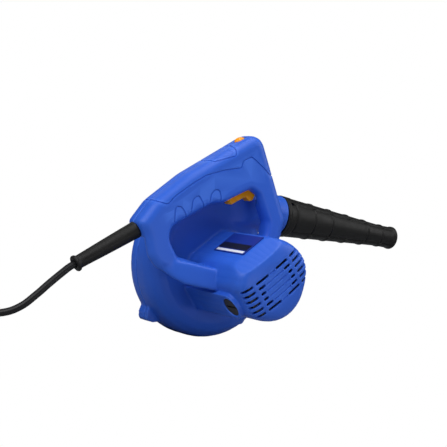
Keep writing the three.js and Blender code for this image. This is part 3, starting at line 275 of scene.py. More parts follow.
def laminations():
    """A stack of thin steel sheets, seen as fine lines across the shaft."""
    colour = (0.16, 0.17, 0.2)
    material = principled("lamination", colour, 0.42, 0.8)
    sheets = material.node_tree.nodes.new("ShaderNodeTexWave")
    sheets.bands_direction = "Y"
    sheets.inputs["Scale"].default_value = 400
    material.node_tree.links.new(place_of(material), sheets.inputs["Vector"])
    shade = mixed(material, sheets.outputs["Fac"], tinted(colour, 0.6), tinted(colour, 1.2))
    link(material, shade, "Base Color")
    bumped(material, sheets.outputs["Fac"], 0.4, 0.0001)
    return material


def blank_label():
    """Unprinted label stock: a dark blue field, a black band and a white writing strip, with no words."""
    field, band, strip = (0.008, 0.03, 0.27), (0.008, 0.008, 0.011), (0.82, 0.84, 0.88)
    material = principled("label_face", field, 0.3, Specular_IOR_Level=0.5)
    tilt = math.radians(BRUSH_TILT)
    across = node(material, "ShaderNodeVectorMath", Vector=place_of(material))
    across.operation = "DOT_PRODUCT"
    across.inputs[1].default_value = (math.cos(tilt), 0, math.sin(tilt))
    zero = float(np.dot(ORIGIN, (math.cos(tilt), 0, math.sin(tilt))))
    width = mapped(material, across.outputs["Value"], zero - 0.008, zero + 0.021, 0.0, 1.0)
    split = material.node_tree.nodes.new("ShaderNodeSeparateXYZ")
    material.node_tree.links.new(place_of(material), split.inputs[0])
    near = ORIGIN[1] - 0.0915
    far = ORIGIN[1] - 0.041
    length = mapped(material, split.outputs["Y"], near, far, 0.0, 1.0)

    def within(value, low, high, edge=0.008):
        rise = mapped(material, value, low - edge, low + edge, 0.0, 1.0)
        fall = mapped(material, value, high - edge, high + edge, 1.0, 0.0)
        return node(material, "ShaderNodeMath", Value=rise), fall

    def box(w0, w1, l0, l1):
        share = None
        for rise, fall in (within(width, w0, w1, 0.012), within(length, l0, l1)):
            rise.operation = "MULTIPLY"
            material.node_tree.links.new(fall, rise.inputs[1])
            if share is None:
                share = rise.outputs[0]
            else:
                both = node(material, "ShaderNodeMath", Value=share)
                both.operation = "MULTIPLY"
                material.node_tree.links.new(rise.outputs[0], both.inputs[1])
                share = both.outputs[0]
        return share

    shade = mixed(material, box(0.20, 0.50, 0.03, 0.97), field, band)
    shade = mixed(material, box(0.05, 0.16, 0.05, 0.95), shade, strip)
    link(material, shade, "Base Color")
    bumped(material, noise(material, 500, 2), 0.1, 0.00003)
    return material


BLUE = (0.025, 0.115, 0.62)
# The edge colours are lighter tints of each plastic: partly wear, partly a painted highlight along the edges.
MATERIALS = {
    "blue_shell": moulded_plastic("blue_shell", BLUE, 0.40, edge=(0.09, 0.26, 0.95)),
    "orange_control": moulded_plastic(
        "orange_control", (1.0, 0.35, 0.0), 0.3, 1100, 0.00004, edge=(1.0, 0.55, 0.03), depth_of_light=0.5
    ),
    "black_rubber": rubber("black_rubber", (0.006, 0.0058, 0.0057), 0.5),
    "cord_jacket": rubber("cord_jacket", (0.008, 0.008, 0.009), 0.36, 700, 0.00002),
    "black_plastic": moulded_plastic("black_plastic", (0.016, 0.017, 0.019), 0.42, edge=(0.05, 0.05, 0.055)),
    "zinc_steel": metal("zinc_steel", (0.55, 0.56, 0.58), 0.32),
    "bright_steel": metal("bright_steel", (0.62, 0.63, 0.65), 0.22, (1, 6, 1)),
    "lamination": laminations(),
    "copper": copper_winding(),
    "brass": metal("brass", (0.72, 0.48, 0.16), 0.3),
    "carbon": rubber("carbon", (0.03, 0.03, 0.032), 0.55),
    "label_face": blank_label(),
}


# ---------------------------------------------------------------- mesh helpers


def show(mesh, name, body, slot, material=None, replaces=()):
    """Puts a mesh in the scene as a piece that rides on a body and stands for CAD nodes."""
    made = bpy.data.objects.new(name, mesh)
    bpy.context.scene.collection.objects.link(made)
    mesh.materials.clear()
    mesh.materials.append(MATERIALS[material or slot])
    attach(made, body)
    if replaces:
        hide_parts(*replaces)
    return made


def mesh_of(name, points, faces):
    """A mesh from places of the drawing."""
    mesh = bpy.data.meshes.new(name)
    mesh.from_pydata([tuple(p) for p in at(points)], [], [tuple(f) for f in faces])
    mesh.update()
    bm = bmesh.new()
    bm.from_mesh(mesh)
    bmesh.ops.recalc_face_normals(bm, faces=bm.faces)
    bm.to_mesh(mesh)
    bm.free()
    mesh.shade_smooth()
    return mesh


def ring_faces(rows, columns, closed_rows=False):
    """Quads over rows of rings; the rows may close on themselves too."""
    faces = []
    for r in range(rows if closed_rows else rows - 1):
        for c in range(columns):
            a, b = r * columns + c, r * columns + (c + 1) % columns
            step = ((r + 1) % rows) * columns
            faces.append((a, b, step + (c + 1) % columns, step + c))
    return faces


def coordinates(mesh):
    flat = np.empty(len(mesh.vertices) * 3, np.float32)
    mesh.vertices.foreach_get("co", flat)
    return flat.reshape(-1, 3).astype(float)


def applied(obj):
    """The mesh of an object with its modifiers, and the object gone."""
    graph = bpy.context.evaluated_depsgraph_get()
    mesh = bpy.data.meshes.new_from_object(obj.evaluated_get(graph), depsgraph=graph)
    bpy.data.objects.remove(obj)
    return mesh


def loose_object(mesh):
    made = bpy.data.objects.new(mesh.name, mesh)
    bpy.context.scene.collection.objects.link(made)
    return made


def voxels(name, size):
    """A CAD node's solid as an even skin of small squares."""
    bm = bmesh.new()
    bm.from_mesh(frame["nodes"][name].data)
    bmesh.ops.remove_doubles(bm, verts=bm.verts, dist=1e-6)
    mesh = bpy.data.meshes.new(name + "_skin")
    bm.to_mesh(mesh)
    bm.free()
    obj = loose_object(mesh)
    remesh = obj.modifiers.new("voxels", "REMESH")
    remesh.mode = "VOXEL"
    remesh.voxel_size = size * MM * COARSE
    return applied(obj)


def edges_of(mesh):
    flat = np.empty(len(mesh.edges) * 2, np.int32)
    mesh.edges.foreach_get("vertices", flat)
    return flat.reshape(-1, 2)


def normals_of(mesh):
    flat = np.empty(len(mesh.vertices) * 3, np.float32)
    mesh.vertex_normals.foreach_get("vector", flat)
    return flat.reshape(-1, 3)


def relaxed(points, edges, give, rounds):
    """Moves every point towards the middle of its neighbours, by its own share."""
    a, b = edges.T
    count = np.bincount(edges.ravel(), minlength=len(points))
    for _ in range(rounds):
        for k in range(3):
            total = np.bincount(a, points[b, k], len(points)) + np.bincount(b, points[a, k], len(points))
            points[:, k] += 0.5 * give * (total / count - points[:, k])


def fair(mesh, rounds, sharp, least=0.06, first=3):
    """Smooths small facets away and keeps the edges that turn by more than `sharp` degrees a step.

    `sharp` is a number, or a function of the points.
    """
    points, edges = drawn(coordinates(mesh)), edges_of(mesh)
    relaxed(points, edges, 1.0, first)  # takes the stair steps of the voxels off
    put(mesh, points)
    normals = normals_of(mesh)
    if callable(sharp):
        sharp = sharp(points)
    a, b = edges.T
    turn = np.degrees(np.arccos(np.clip((normals[a] * normals[b]).sum(1), -1, 1)))
    most = np.zeros(len(points))
    np.maximum.at(most, a, turn)
    np.maximum.at(most, b, turn)
    give = 1 - (1 - least) * ramp(most, sharp * 0.75, sharp * 1.25)
    count = np.bincount(edges.ravel(), minlength=len(points))
    for _ in range(2):
        near = np.bincount(a, give[b], len(points)) + np.bincount(b, give[a], len(points))
        give = np.minimum(give, 0.3 * give + 0.7 * near / count)
    relaxed(points, edges, give, max(2, rounds // COARSE**2))
    return points


def put(mesh, points):
    mesh.vertices.foreach_set("co", at(points).astype(np.float32).ravel())
    mesh.update()


def rounder(points, steps, share, phase=0.0):
    """Moves points out from a many-sided section about the motor axis onto its circle."""
    angle = np.degrees(np.arctan2(points[:, 2], points[:, 0])) - phase
    off = np.radians(angle % (360 / steps) - 180 / steps)
    factor = 1 + share * (np.cos(off) / math.cos(math.pi / steps) - 1)
    points[:, 0] *= factor
    points[:, 2] *= factor


def carve(mesh, cutters):
    """Cuts closed shapes that don't touch each other out of a mesh."""
    if not cutters:
        return mesh
    bm = bmesh.new()
    for cutter in cutters:
        bm.from_mesh(cutter)
        bpy.data.meshes.remove(cutter)
    together = bpy.data.meshes.new("cutters")
    bm.to_mesh(together)
    bm.free()
    obj, tool = loose_object(mesh), loose_object(together)
    boolean = obj.modifiers.new("carve", "BOOLEAN")
    boolean.operation = "DIFFERENCE"
    boolean.solver = "MANIFOLD"
    boolean.object = tool
    mesh = applied(obj)
    bpy.data.objects.remove(tool)
    return mesh


def skin_normals(mesh):
    """Where each point of a dense skin is, and which way the skin faces there."""
    tree = KDTree(len(mesh.vertices))
    for i, place in enumerate(coordinates(mesh)):
        tree.insert(place, i)
    tree.balance()
    return tree, normals_of(mesh)


def thinned(mesh, faces):
    """The same skin from fewer triangles."""
    obj = loose_object(mesh)
    decimate = obj.modifiers.new("thinned", "DECIMATE")
    count = sum(len(p.vertices) - 2 for p in mesh.polygons)
    decimate.ratio = min(1.0, faces / count)
    return applied(obj)


NEARLY_SQUARE = (0.988, 0.998)  # how nearly a face looks along the motor axis to be shaded as flat
SAME_SKIN = 0.80  # a face that turns further from the skin than this cosine was cut into it


def shade_as(mesh, skin):
    """Shades a mesh as the dense skin was; what was cut into the skin keeps its own edges."""
    mesh.shade_smooth()
    tree, normals = skin
    own = normals[[tree.find(vertex.co)[1] for vertex in mesh.vertices]]
    # The casing's flat faces lie square to the motor axis.
    flat = ramp(np.abs(own[:, 1]), *NEARLY_SQUARE)[:, None]
    own = own * (1 - flat) + np.sign(own[:, 1:2]) * np.array((0, 1, 0)) * flat
    own /= np.linalg.norm(own, axis=1)[:, None]
    corners = np.empty(len(mesh.loops), np.int32)
    mesh.loops.foreach_get("vertex_index", corners)
    sizes = np.empty(len(mesh.polygons), np.int32)
    mesh.polygons.foreach_get("loop_total", sizes)
    facing = np.empty(len(mesh.polygons) * 3, np.float32)
    mesh.polygons.foreach_get("normal", facing)
    faced = np.repeat(facing.reshape(-1, 3), sizes, axis=0)
    smooth = own[corners]
    follows = (smooth * faced).sum(1) > SAME_SKIN
    mesh.normals_split_custom_set(np.where(follows[:, None], smooth, faced).tolist())


# ---------------------------------------------------------------- lead


def coil_route():
    """Inwards over three lanes on the floor, then outwards over three on top of them, clockwise."""
    width = 2 * CORD_RADIUS
    lanes = [COIL_OUTER - CORD_RADIUS - width * k for k in (0, 1, 2, 2, 1, 0)]
    levels = [CORD_RADIUS] * 3 + [CORD_RADIUS + width] * 3
    total = int(COIL_STEPS * (COIL_START - COIL_END) / 360)
    route = []
    for i in range(total + 1):
        angle = COIL_START + (COIL_END - COIL_START) * i / total
        turns = (COIL_START - angle) / 360
        k = min(int(turns), 5)
        share = float(ramp(turns - k, 1 - COIL_CROSSING, 1)) if k < 5 else 0.0
        after = min(k + 1, 5)
        radius = lanes[k] + (lanes[after] - lanes[k]) * share
        if k == 2:  # the turn that climbs keeps clear of its neighbours
            radius -= CLIMB_CLEARANCE * 4 * share * (1 - share)
        height = levels[k] + (levels[after] - levels[k]) * share
        x, y = radius * math.cos(math.radians(angle)), radius * math.sin(math.radians(angle))
        route.append((COIL_CENTRE[0] + x, COIL_CENTRE[1] + y, FLOOR + height))
    return route


SLEEVE_SLOPE = math.radians(35.2)
SLEEVE_SEAT = np.array((-121.7, HANDLE_MIDDLE, 29.9))
SLEEVE_WAY = np.array((-math.cos(SLEEVE_SLOPE), 0, -math.sin(SLEEVE_SLOPE)))
SLEEVE_LENGTH = 72


def plug_point(u, v, w):
    """A place on the plug: along it from the lead's entry, across it and above the floor."""
    turn = math.radians(25)
    way = (math.cos(turn), math.sin(turn))
    return (-232 + u * way[0] - v * way[1], 129 + u * way[1] + v * way[0], FLOOR + w)


def make_lead():
    lead_exit = SLEEVE_SEAT + SLEEVE_WAY * (SLEEVE_LENGTH + 0.6)
    route = [
        tuple(lead_exit - SLEEVE_WAY * 3),
        tuple(lead_exit + SLEEVE_WAY * 5),
        (-190.8, -36, FLOOR + 49.3),
        (-202.4, -36, FLOOR + 37.6),
        (-214, -36, FLOOR + 25.2),
        (-227, -34.5, FLOOR + 12.8),
        (-240, -29.5, FLOOR + 5.6),
        (-251, -21.8, FLOOR + 3.7),
        (-262, -12, FLOOR + 3.55),
        (-272.5, -2.2, FLOOR + CORD_RADIUS),
        (-282.5, 7.4, FLOOR + CORD_RADIUS),
    ]
    tail = [
        (-268.5, 97.7, FLOOR + 10.1),
        (-259.4, 105.7, FLOOR + 9.2),
        (-250.7, 114.5, FLOOR + 8.1),
        (-241.7, 122.8, FLOOR + 7.1),
        plug_point(0.5, 0, 6.75),
    ]
    points = route + coil_route() + tail
    curve = bpy.data.curves.new("mains_lead", "CURVE")
    curve.dimensions = "3D"
    curve.resolution_u = 5
    curve.bevel_depth = CORD_RADIUS * MM
    curve.bevel_resolution = 4
    curve.use_fill_caps = True
    spline = curve.splines.new("BEZIER")
    spline.bezier_points.add(len(points) - 1)
    for bezier, place in zip(spline.bezier_points, at(points)):
        bezier.co = place
        bezier.handle_left_type = bezier.handle_right_type = "AUTO"
    lead = bpy.data.objects.new("mains_lead", curve)
    bpy.context.scene.collection.objects.link(lead)
    curve.materials.append(MATERIALS["cord_jacket"])
    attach(lead, "housing")
    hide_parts("cord_lead", "cord_coil", "cord_tail")
    length = float(np.linalg.norm(np.diff(at(points), axis=0), axis=1).sum())
    return lead, lead_exit, length


def make_tie():
    """A soft strap round the bundle of turns, on the coil's far side from the tool."""
    angle = math.radians(200)
    way = np.array((math.cos(angle), math.sin(angle), 0))
    side = np.array((-math.sin(angle), math.cos(angle), 0))
    width, thick, high = 9.0, 1.1, 4 * CORD_RADIUS
    middle = COIL_OUTER - 3 * CORD_RADIUS
    half = 3 * CORD_RADIUS + 0.2
    corner, steps = 3.4, 6
    outline = []
    for cx, cz, first in (
        (half - corner, high - corner, 0), (-half + corner, high - corner, 90),
        (-half + corner, corner, 180), (half - corner, corner, 270),
    ):
        for i in range(steps + 1):
            a = math.radians(first + 90 * i / steps)
            outline.append((cx + corner * math.cos(a), cz + corner * math.sin(a), math.cos(a), math.sin(a)))
    points, sections = [], [(-0.5, 0), (-0.42, 1), (0.42, 1), (0.5, 0)]
    for x, z, nx, nz in outline:
        for share, out in sections:
            lift = 0.15 + thick * out
            radial = middle + x + nx * lift
            level = FLOOR + max(z + nz * lift, 0.1)
            points.append(
                np.array((*COIL_CENTRE, 0)) + way * radial + side * share * width + (0, 0, level)
            )
    mesh = mesh_of("coil_tie", points, ring_faces(len(outline), len(sections), True))
    return show(mesh, "coil_tie", "housing", "black_rubber")


def make_sleeve():
    """The tapered strain relief: a smooth sleeve with a collar at its tip and a narrower root that goes into the
    handle.
    """
    tip = SLEEVE_LENGTH
    profile = [
        (3.4, -6.5), (6.0, -6.5), (6.1, 0.4), (8.0, 0.4), (8.4, 0.8), (8.3, 3.0), (8.2, 6),
        (8.1, 9), (7.75, 24), (7.3, 40), (6.75, 56), (6.5, 64), (6.5, 67.2), (6.9, 68.2), (7.7, 68.9),
        (8.0, 69.8), (8.0, 70.9), (7.6, 71.6), (6.8, tip), (4.2, tip), (3.6, tip - 0.6), (3.55, tip - 6),
    ]
    sides = 56
    across = np.array((0, 1.0, 0))
    up = np.cross(SLEEVE_WAY, across)
    points = []
    for radius, along in profile:
        for i in range(sides):
            a = 2 * math.pi * i / sides
            seam = 0.12 * math.exp(-((math.sin(a) / 0.06) ** 2)) if 6 < along < 66 else 0
            r = radius + seam
            points.append(SLEEVE_SEAT + SLEEVE_WAY * along + across * r * math.cos(a) + up * r * math.sin(a))
    mesh = mesh_of("sleeve", points, ring_faces(len(profile), sides, True))
    return show(mesh, "cord_sleeve", "housing", "black_rubber", replaces=["strain_relief"])


# ---------------------------------------------------------------- nozzle

NOZZLE_ROOT = 22
NOZZLE_SLOPE = 0.066
NOZZLE_STRAIGHT = 148  # the radius stays the same beyond this length
NOZZLE_BORE = 18.3
NOZZLE_STUD_BORE = 19.6  # room for the spigot's studs
NOZZLE_STUD_LENGTH = 23
NOZZLE_SPIGOT_LENGTH = 29
NOZZLE_WALL = 2.3
RING_PLACES = (112, 139, 166, 193, 220)
PANEL_LINES = (83, 110.5, 137, 194, 217.5)
PANEL_HALF = 47  # degrees from the side to the line that bounds the panels
PANEL_END = 236
PANEL_DEPTH = 0.3
PANEL_LINE_WIDTH = 0.8
PANEL_LINE_DEPTH = 1.05
RING_HEIGHT = 0.85
BAYONET_HOLE = (76.5, 138.4, 2.0)  # along the axis, round it, and radius


def around(centres, offsets):
    return [c + sign * o for c in centres for o in offsets for sign in (-1, 1)]


def spread(values, least):
    """Sorted values with those nearer than `least` to the last one dropped."""
    kept = []
    for value in sorted(values):
        if not kept or value - kept[-1] >= least:
            kept.append(value)
    return kept


def nozzle_radius(x, angle):
    s = x - NOZZLE_START
    radius = NOZZLE_ROOT - NOZZLE_SLOPE * np.minimum(s, NOZZLE_STRAIGHT)
    off_side = np.abs((angle + 90) % 180 - 90)  # degrees from the nearer side
    band = ramp(off_side, PANEL_HALF - 1, PANEL_HALF + 3)
    panel = (1 - ramp(off_side, PANEL_HALF - 3, PANEL_HALF - 1)) * ramp(x, 82.6, 84.2)
    panel *= 1 - ramp(x, PANEL_END - 1.6, PANEL_END)
    rings = sum(ramp(x, ring - 5.5, ring - 0.5) * (1 - ramp(x, ring, ring + 1.9)) for ring in RING_PLACES)
    lines = sum(np.exp(-(((x - line) / PANEL_LINE_WIDTH) ** 2)) for line in PANEL_LINES)
    lines = lines * (1 - ramp(off_side, PANEL_HALF - 1, PANEL_HALF + 1))
    side_line = np.exp(-((np.radians(off_side - PANEL_HALF) * radius / PANEL_LINE_WIDTH) ** 2))
    side_line = side_line * ramp(x, 82, 83) * (1 - ramp(x, PANEL_END - 1, PANEL_END))
    root = (1 - ramp(x, 80.2, 81.4)) * 0.45 - 0.35 * np.exp(-(((x - 73.6) / 0.5) ** 2))
    lip = 0.95 * ramp(x, 234.5, 238)
    edge = 0.8 * (1 - np.sqrt(1 - np.clip((x - 239.2) / 0.8, 0, 1) ** 2))
    first = 0.6 * (1 - np.sqrt(1 - np.clip((70.6 - x) / 0.6, 0, 1) ** 2))
    raised = root + RING_HEIGHT * band * rings + lip
    sunk = PANEL_DEPTH * panel + PANEL_LINE_DEPTH * np.maximum(lines, side_line)
    return radius + raised - sunk - edge - first


def make_nozzle():
    lines = around(PANEL_LINES, (0, 0.35, 0.7, 1.1, 1.6))
    ramps = around([ring - 3 for ring in RING_PLACES], (0, 1, 2))
    ramps += around(RING_PLACES, (0, 0.5, 1.1, 1.9, 2.6))
    ends = [70, 70.2, 70.6, 72.6, 73.1, 73.6, 74.1, 74.6, 80.2, 80.8, 81.4, 234.5, 235.4, 236.2, 237.1, 238]
    ends += [239.2, 239.5, 239.75, 239.92, 240]
    xs = np.array(spread(lines + ramps + ends + list(np.arange(72, 239, 1.8)), 0.16))
    bounds = (PANEL_HALF, 180 - PANEL_HALF, 180 + PANEL_HALF, 360 - PANEL_HALF)
    turns = around(bounds, (0, 1, 2, 3.2, 4.6, 6.5))
    turns = np.array(spread([t % 360 for t in turns] + list(np.arange(0, 359, 4.0)), 0.8))
    rows = []
    for x in xs:
        rows.append((x, nozzle_radius(x, turns)))
    tip = rows[-1][1]
    inner = NOZZLE_ROOT - NOZZLE_SLOPE * NOZZLE_STRAIGHT - NOZZLE_WALL + 0.5
    for share in (0.4, 0.8):
        rows.append((240, tip + (inner + 0.3 - tip) * share))
    bore = [(240, 0.3), (239.6, 0.0), (236, 0), (218, 0)]
    rows += [(x, turns * 0 + inner + more) for x, more in bore]
    for x, radius in (
        (NOZZLE_START + NOZZLE_SPIGOT_LENGTH + 3, NOZZLE_BORE - 2.6),
        (NOZZLE_START + NOZZLE_SPIGOT_LENGTH, NOZZLE_BORE),
        (NOZZLE_START + NOZZLE_STUD_LENGTH, NOZZLE_BORE),
        (NOZZLE_START + NOZZLE_STUD_LENGTH - 0.6, NOZZLE_STUD_BORE),
        (NOZZLE_START + 0.5, NOZZLE_STUD_BORE),
        (NOZZLE_START, NOZZLE_STUD_BORE + 0.4),
    ):
        rows.append((x, turns * 0 + radius))
    cos, sin = np.cos(np.radians(turns)), np.sin(np.radians(turns))
    points = [
        (x, r * c, OUTLET_HEIGHT + r * s)
        for x, radii in rows
        for r, c, s in zip(radii, cos, sin)
    ]
    mesh = mesh_of("nozzle_body", points, ring_faces(len(rows), len(turns), True))
    x, angle, radius = BAYONET_HOLE
    for extra in (0, 180):
        way = np.array((0, math.cos(math.radians(angle + extra)), math.sin(math.radians(angle + extra))))
        seat = np.array((x, 0, OUTLET_HEIGHT)) + way * 15
        mesh = carve(mesh, [pin("bayonet_hole", seat, way, radius, 12)])
    mesh.shade_smooth()
    mesh.set_sharp_from_angle(angle=math.radians(50))
    return show(mesh, "nozzle_body", "nozzle", "black_rubber", replaces=["nozzle"])


def pin(name, seat, way, radius, length, sides=24):
    """A round closed pin from a seat along a direction."""
    way = np.asarray(way, float) / np.linalg.norm(way)
    across = np.cross(way, (0, 0, 1.0) if abs(way[2]) < 0.9 else (1.0, 0, 0))
    across /= np.linalg.norm(across)
    up = np.cross(way, across)
    points, faces = [], []
    for along in (0, length):
        for i in range(sides):
            a = 2 * math.pi * i / sides
            points.append(np.asarray(seat) + way * along + radius * (across * math.cos(a) + up * math.sin(a)))
    faces = ring_faces(2, sides) + [tuple(range(sides)), tuple(range(2 * sides - 1, sides - 1, -1))]
    return mesh_of(name, points, faces)


# ---------------------------------------------------------------- moulded shells


def unfacet(points):
    """Turns the flat facets of the source's round casings back into curves."""
    y = points[:, 1]
    radius = np.hypot(points[:, 0], points[:, 2])
    barrel = ramp(-y, 14, 20) * (1 - ramp(radius, 50, 56))
    rounder(points, SCROLL_STEPS, barrel, BRUSH_TILT)
    scroll = ramp(y, SCROLL_NEAR - 3, SCROLL_NEAR + 1) * ramp(radius, 44, 50)
    rounder(points, SCROLL_STEPS, scroll)
    collar = ramp(y, COVER_FACE - 4, COVER_FACE - 2) * (1 - ramp(radius, 44, 48))
    rounder(points, COLLAR_STEPS, collar)


def crease_limit(points):
    """The turn that counts as an edge: less on the barrel, whose bevels are shallow."""
    barrel = ramp(-points[:, 1], 54, 60)
    return 24 - 9 * barrel


def moulding(
    name, size, rounds, faces, body="housing", slot="blue_shell",
    lines=(), cuts=(), round_shell=True, reshape=None,
):
    """A CAD node's solid again with smooth skin, soft edges and the fine lines of its mould.

    The voxels have the size given; faces is how many triangles are kept.
    """
    mesh = voxels(name, size)
    points = fair(mesh, rounds, crease_limit if round_shell else 24.0)
    if reshape:
        reshape(points)
    if round_shell:
        unfacet(points)
    put(mesh, points)
    mesh.shade_smooth()
    skin = skin_normals(mesh)
    if lines:
        tree = BVHTree.FromPolygons([v.co for v in mesh.vertices], [p.vertices for p in mesh.polygons])
        mesh = carve(mesh, [groove(tree, line) for line in lines])
    mesh = carve(mesh, cuts)
    mesh = thinned(mesh, faces // COARSE)
    shade_as(mesh, skin)
    return show(mesh, name + "_moulding", body, slot, replaces=[name])


GROOVE_RADIUS = 0.8
GROOVE_STEP = 1.2


def groove(skin, line, radius=GROOVE_RADIUS):
    """A thin closed tube that follows a line laid on a skin."""
    line = np.array(line, float)
    places = [line[0]]
    for a, b in zip(line, line[1:]):
        count = max(1, int(np.linalg.norm(b - a) / GROOVE_STEP))
        places += [a + (b - a) * (i + 1) / count for i in range(count)]
    places = np.array(places)
    for _ in range(2):  # rounds the corners a little
        places[1:-1] = (places[:-2] + 2 * places[1:-1] + places[2:]) / 4
    on_skin = np.array([drawn(skin.find_nearest(Vector(at(p)))[0]) for p in places])
    sides, rings = 8, []
    for i, place in enumerate(on_skin):
        way = on_skin[min(i + 1, len(on_skin) - 1)] - on_skin[max(i - 1, 0)]
        way /= np.linalg.norm(way)
        across = np.cross(way, (0, 1.0, 0) if abs(way[1]) < 0.8 else (0, 0, 1.0))
        across /= np.linalg.norm(across)
        up = np.cross(way, across)
        for k in range(sides):
            a = 2 * math.pi * k / sides
            rings.append(place + radius * (across * math.cos(a) + up * math.sin(a)))
    count = len(on_skin)
    faces = ring_faces(count, sides)
    faces += [tuple(range(sides)), tuple(range(count * sides - 1, (count - 1) * sides - 1, -1))]
    return mesh_of("groove", rings, faces)


# Lines of the handle's mould on its near half, as (x, z, y), and of the finger places on its side, as (x, z).
GRIP_LINE = (
    (-113, 60, -37.5), (-112, 59.8, -44), (-110.4, 59.2, -48.8), (-100.9, 58.5, -52), (-93.9, 67.6, -51.7),
    (-78.5, 81.5, -51.9), (-63.2, 93.2, -52), (-41.1, 102.6, -52), (-22.7, 108, -52), (-22.6, 114.7, -52),
    (-12.8, 121, -52), (-2.3, 115.9, -52), (8.7, 110.2, -52), (13.5, 106.5, -49),
    (15.5, 105, -44), (16, 104.8, -37.5),
)
FINGER_LINES = (
    ((-90, 42.4), (-92, 55), (-90.3, 58.1), (-84.6, 58.4), (-79.8, 53.6), (-76.5, 47.5)),
    ((-73, 54.7), (-73.7, 66.9), (-70.6, 71.1), (-66.9, 72.1), (-60.5, 64.9), (-57.5, 60.5)),
    ((-53.4, 67), (-53.5, 76.8), (-49.9, 81.5), (-44.8, 81.5), (-41.7, 76.2), (-40.5, 70)),
)
CHEVRON_LINE = (
    (-59, 107.6, -37.5), (-57.1, 108.9, -44.1), (-54.2, 108.1, -49), (-43.5, 113.3, -50.9),
    (-31.8, 118.2, -51.8),
    (-31.3, 123.8, -50.3), (-33, 126.9, -45.1), (-31.5, 128.6, -37.5),
)


def handle_lines():
    """The handle's lines on the near half, as places of the drawing."""
    lines = [[(x, y, z) for x, z, y in line] for line in (GRIP_LINE, CHEVRON_LINE)]
    return lines + [[(x, HANDLE_NEAR, z) for x, z in line] for line in FINGER_LINES]


def mirrored(lines):
    """The same lines on the handle's far half."""
    return [[(x, 2 * HANDLE_MIDDLE - y, z) for x, y, z in line] for line in lines]


SLOT_ROWS = 6
SLOT_PITCH = 6.1
SLOT_HALF = 1.55
SLOT_INNER = 16
SLOT_RIB = (21.5, 25.1)
SLOT_OUTER = 50
SLOT_SIDE = 9.6  # how far the slots run down the barrel's side
BARREL_END = 113.5


def motor_point(d, n, m):
    """A place by the barrel's own axes: towards the fan's upper right, the flat top and the brush end."""
    tilt = math.radians(BRUSH_TILT)
    return (d * math.cos(tilt) - n * math.sin(tilt), -m, d * math.sin(tilt) + n * math.cos(tilt))


def slot_cutter(start, end, n):
    """A slot with round inner corners through the barrel's end."""
    corners = []
    for side, centre in ((1, max(start, end) - SLOT_HALF), (-1, min(start, end) + SLOT_HALF)):
        for i in range(9):
            a = math.radians(-90 + 180 * i / 8)
            corners.append((centre + side * SLOT_HALF * math.cos(a), n + side * SLOT_HALF * math.sin(a)))
    count = len(corners)
    depths = (BARREL_END - SLOT_SIDE, BARREL_END + 4)
    points = [motor_point(d, row, m) for m in depths for d, row in corners]
    faces = ring_faces(2, count) + [tuple(range(count)), tuple(range(2 * count - 1, count - 1, -1))]
    return mesh_of("slot", points, faces)


def end_slots():
    cutters = []
    for row in range(SLOT_ROWS):
        n = (row - (SLOT_ROWS - 1) / 2) * SLOT_PITCH
        start = math.sqrt(max(SLOT_INNER**2 - n**2, 25))
        for side in (-1, 1):
            cutters.append(slot_cutter(side * start, side * SLOT_RIB[0], n))
            cutters.append(slot_cutter(side * SLOT_RIB[1], side * SLOT_OUTER, n))
    return cutters


def end_lines():
    """The shallow lines between the slots, on the flat middle of the barrel's end."""
    lines = []
    for row in range(SLOT_ROWS):
        n = (row - (SLOT_ROWS - 1) / 2) * SLOT_PITCH
        reach = math.sqrt(max(SLOT_INNER**2 - n**2, 25)) - 1.6
        lines.append([motor_point(-reach, n, BARREL_END), motor_point(reach, n, BARREL_END)])
    return lines


# Painted shade: a black ring just inside the barrel's end keeps the slots dark.
SHADE_RING_PLACE = (107.6, 108.4)  # along the motor axis, just inside the barrel's end
SHADE_RING_INNER = 15.5
SHADE_RING_OUTER = 33.5
SHADE_RING_FLAT = 26.5  # it stops short of the barrel's bevelled flat side


def make_shade_ring():
    """A black ring behind the slots, as painted shade: it stands in for the dark deep inside the barrel, so that
    nothing bright shows through them.
    """
    sides, points = 72, []
    for radius_of, m in (
        ("in", SHADE_RING_PLACE[0]), ("in", SHADE_RING_PLACE[1]), ("out", SHADE_RING_PLACE[1]), ("out", SHADE_RING_PLACE[0]),
    ):
        for i in range(sides):
            a = 2 * math.pi * i / sides
            radius = SHADE_RING_INNER
            if radius_of == "out":
                radius = min(SHADE_RING_OUTER, SHADE_RING_FLAT / max(math.sin(a), 0.01))
            points.append(motor_point(radius * math.cos(a), radius * math.sin(a), m))
    mesh = mesh_of("painted_shade_ring", points, ring_faces(4, sides, True))
    mesh.set_sharp_from_angle(angle=math.radians(40))
    return show(mesh, "painted_shade_ring", "housing", "black_plastic")


LOCK_LEAN = 20  # degrees that the handle's top slopes at the lock button
LOCK_CROWN = 2.2  # how much lower the button's ends are than its middle


def sunk_button(points):
    """Crowns the lock button, so that it falls away towards its ends and sides."""
    lean = math.radians(LOCK_LEAN)
    up = np.array((-math.sin(lean), 0, math.cos(lean)))
    way = np.array((math.cos(lean), 0, math.sin(lean)))
    high, far, side = points @ up, points @ way, points[:, 1] - HANDLE_MIDDLE
    middle = (far.min() + far.max()) / 2
    fall = ((far - middle) / (np.ptp(far) / 2)) ** 2 + (side / (np.ptp(side) / 2)) ** 2
    top = ramp(high, high.max() - 4, high.max() - 0.5)
    points -= (top * np.clip(fall, 0, 1) * LOCK_CROWN)[:, None] * up


def make_shells():
    near = handle_lines()
    moulding("motor_housing", 0.6, 60, 190000, lines=near + end_lines(), cuts=end_slots())
    moulding("handle_cover", 0.6, 60, 40000, lines=mirrored(near))
    moulding("fan_cover", 0.7, 30, 60000)
    moulding("trigger", 0.35, 20, 9000, "trigger", "orange_control", round_shell=False)
    moulding(
        "lock_button", 0.3, 12, 5000, "lock_button", "orange_control",
        round_shell=False, reshape=sunk_button,
    )


# ---------------------------------------------------------------- stage and light


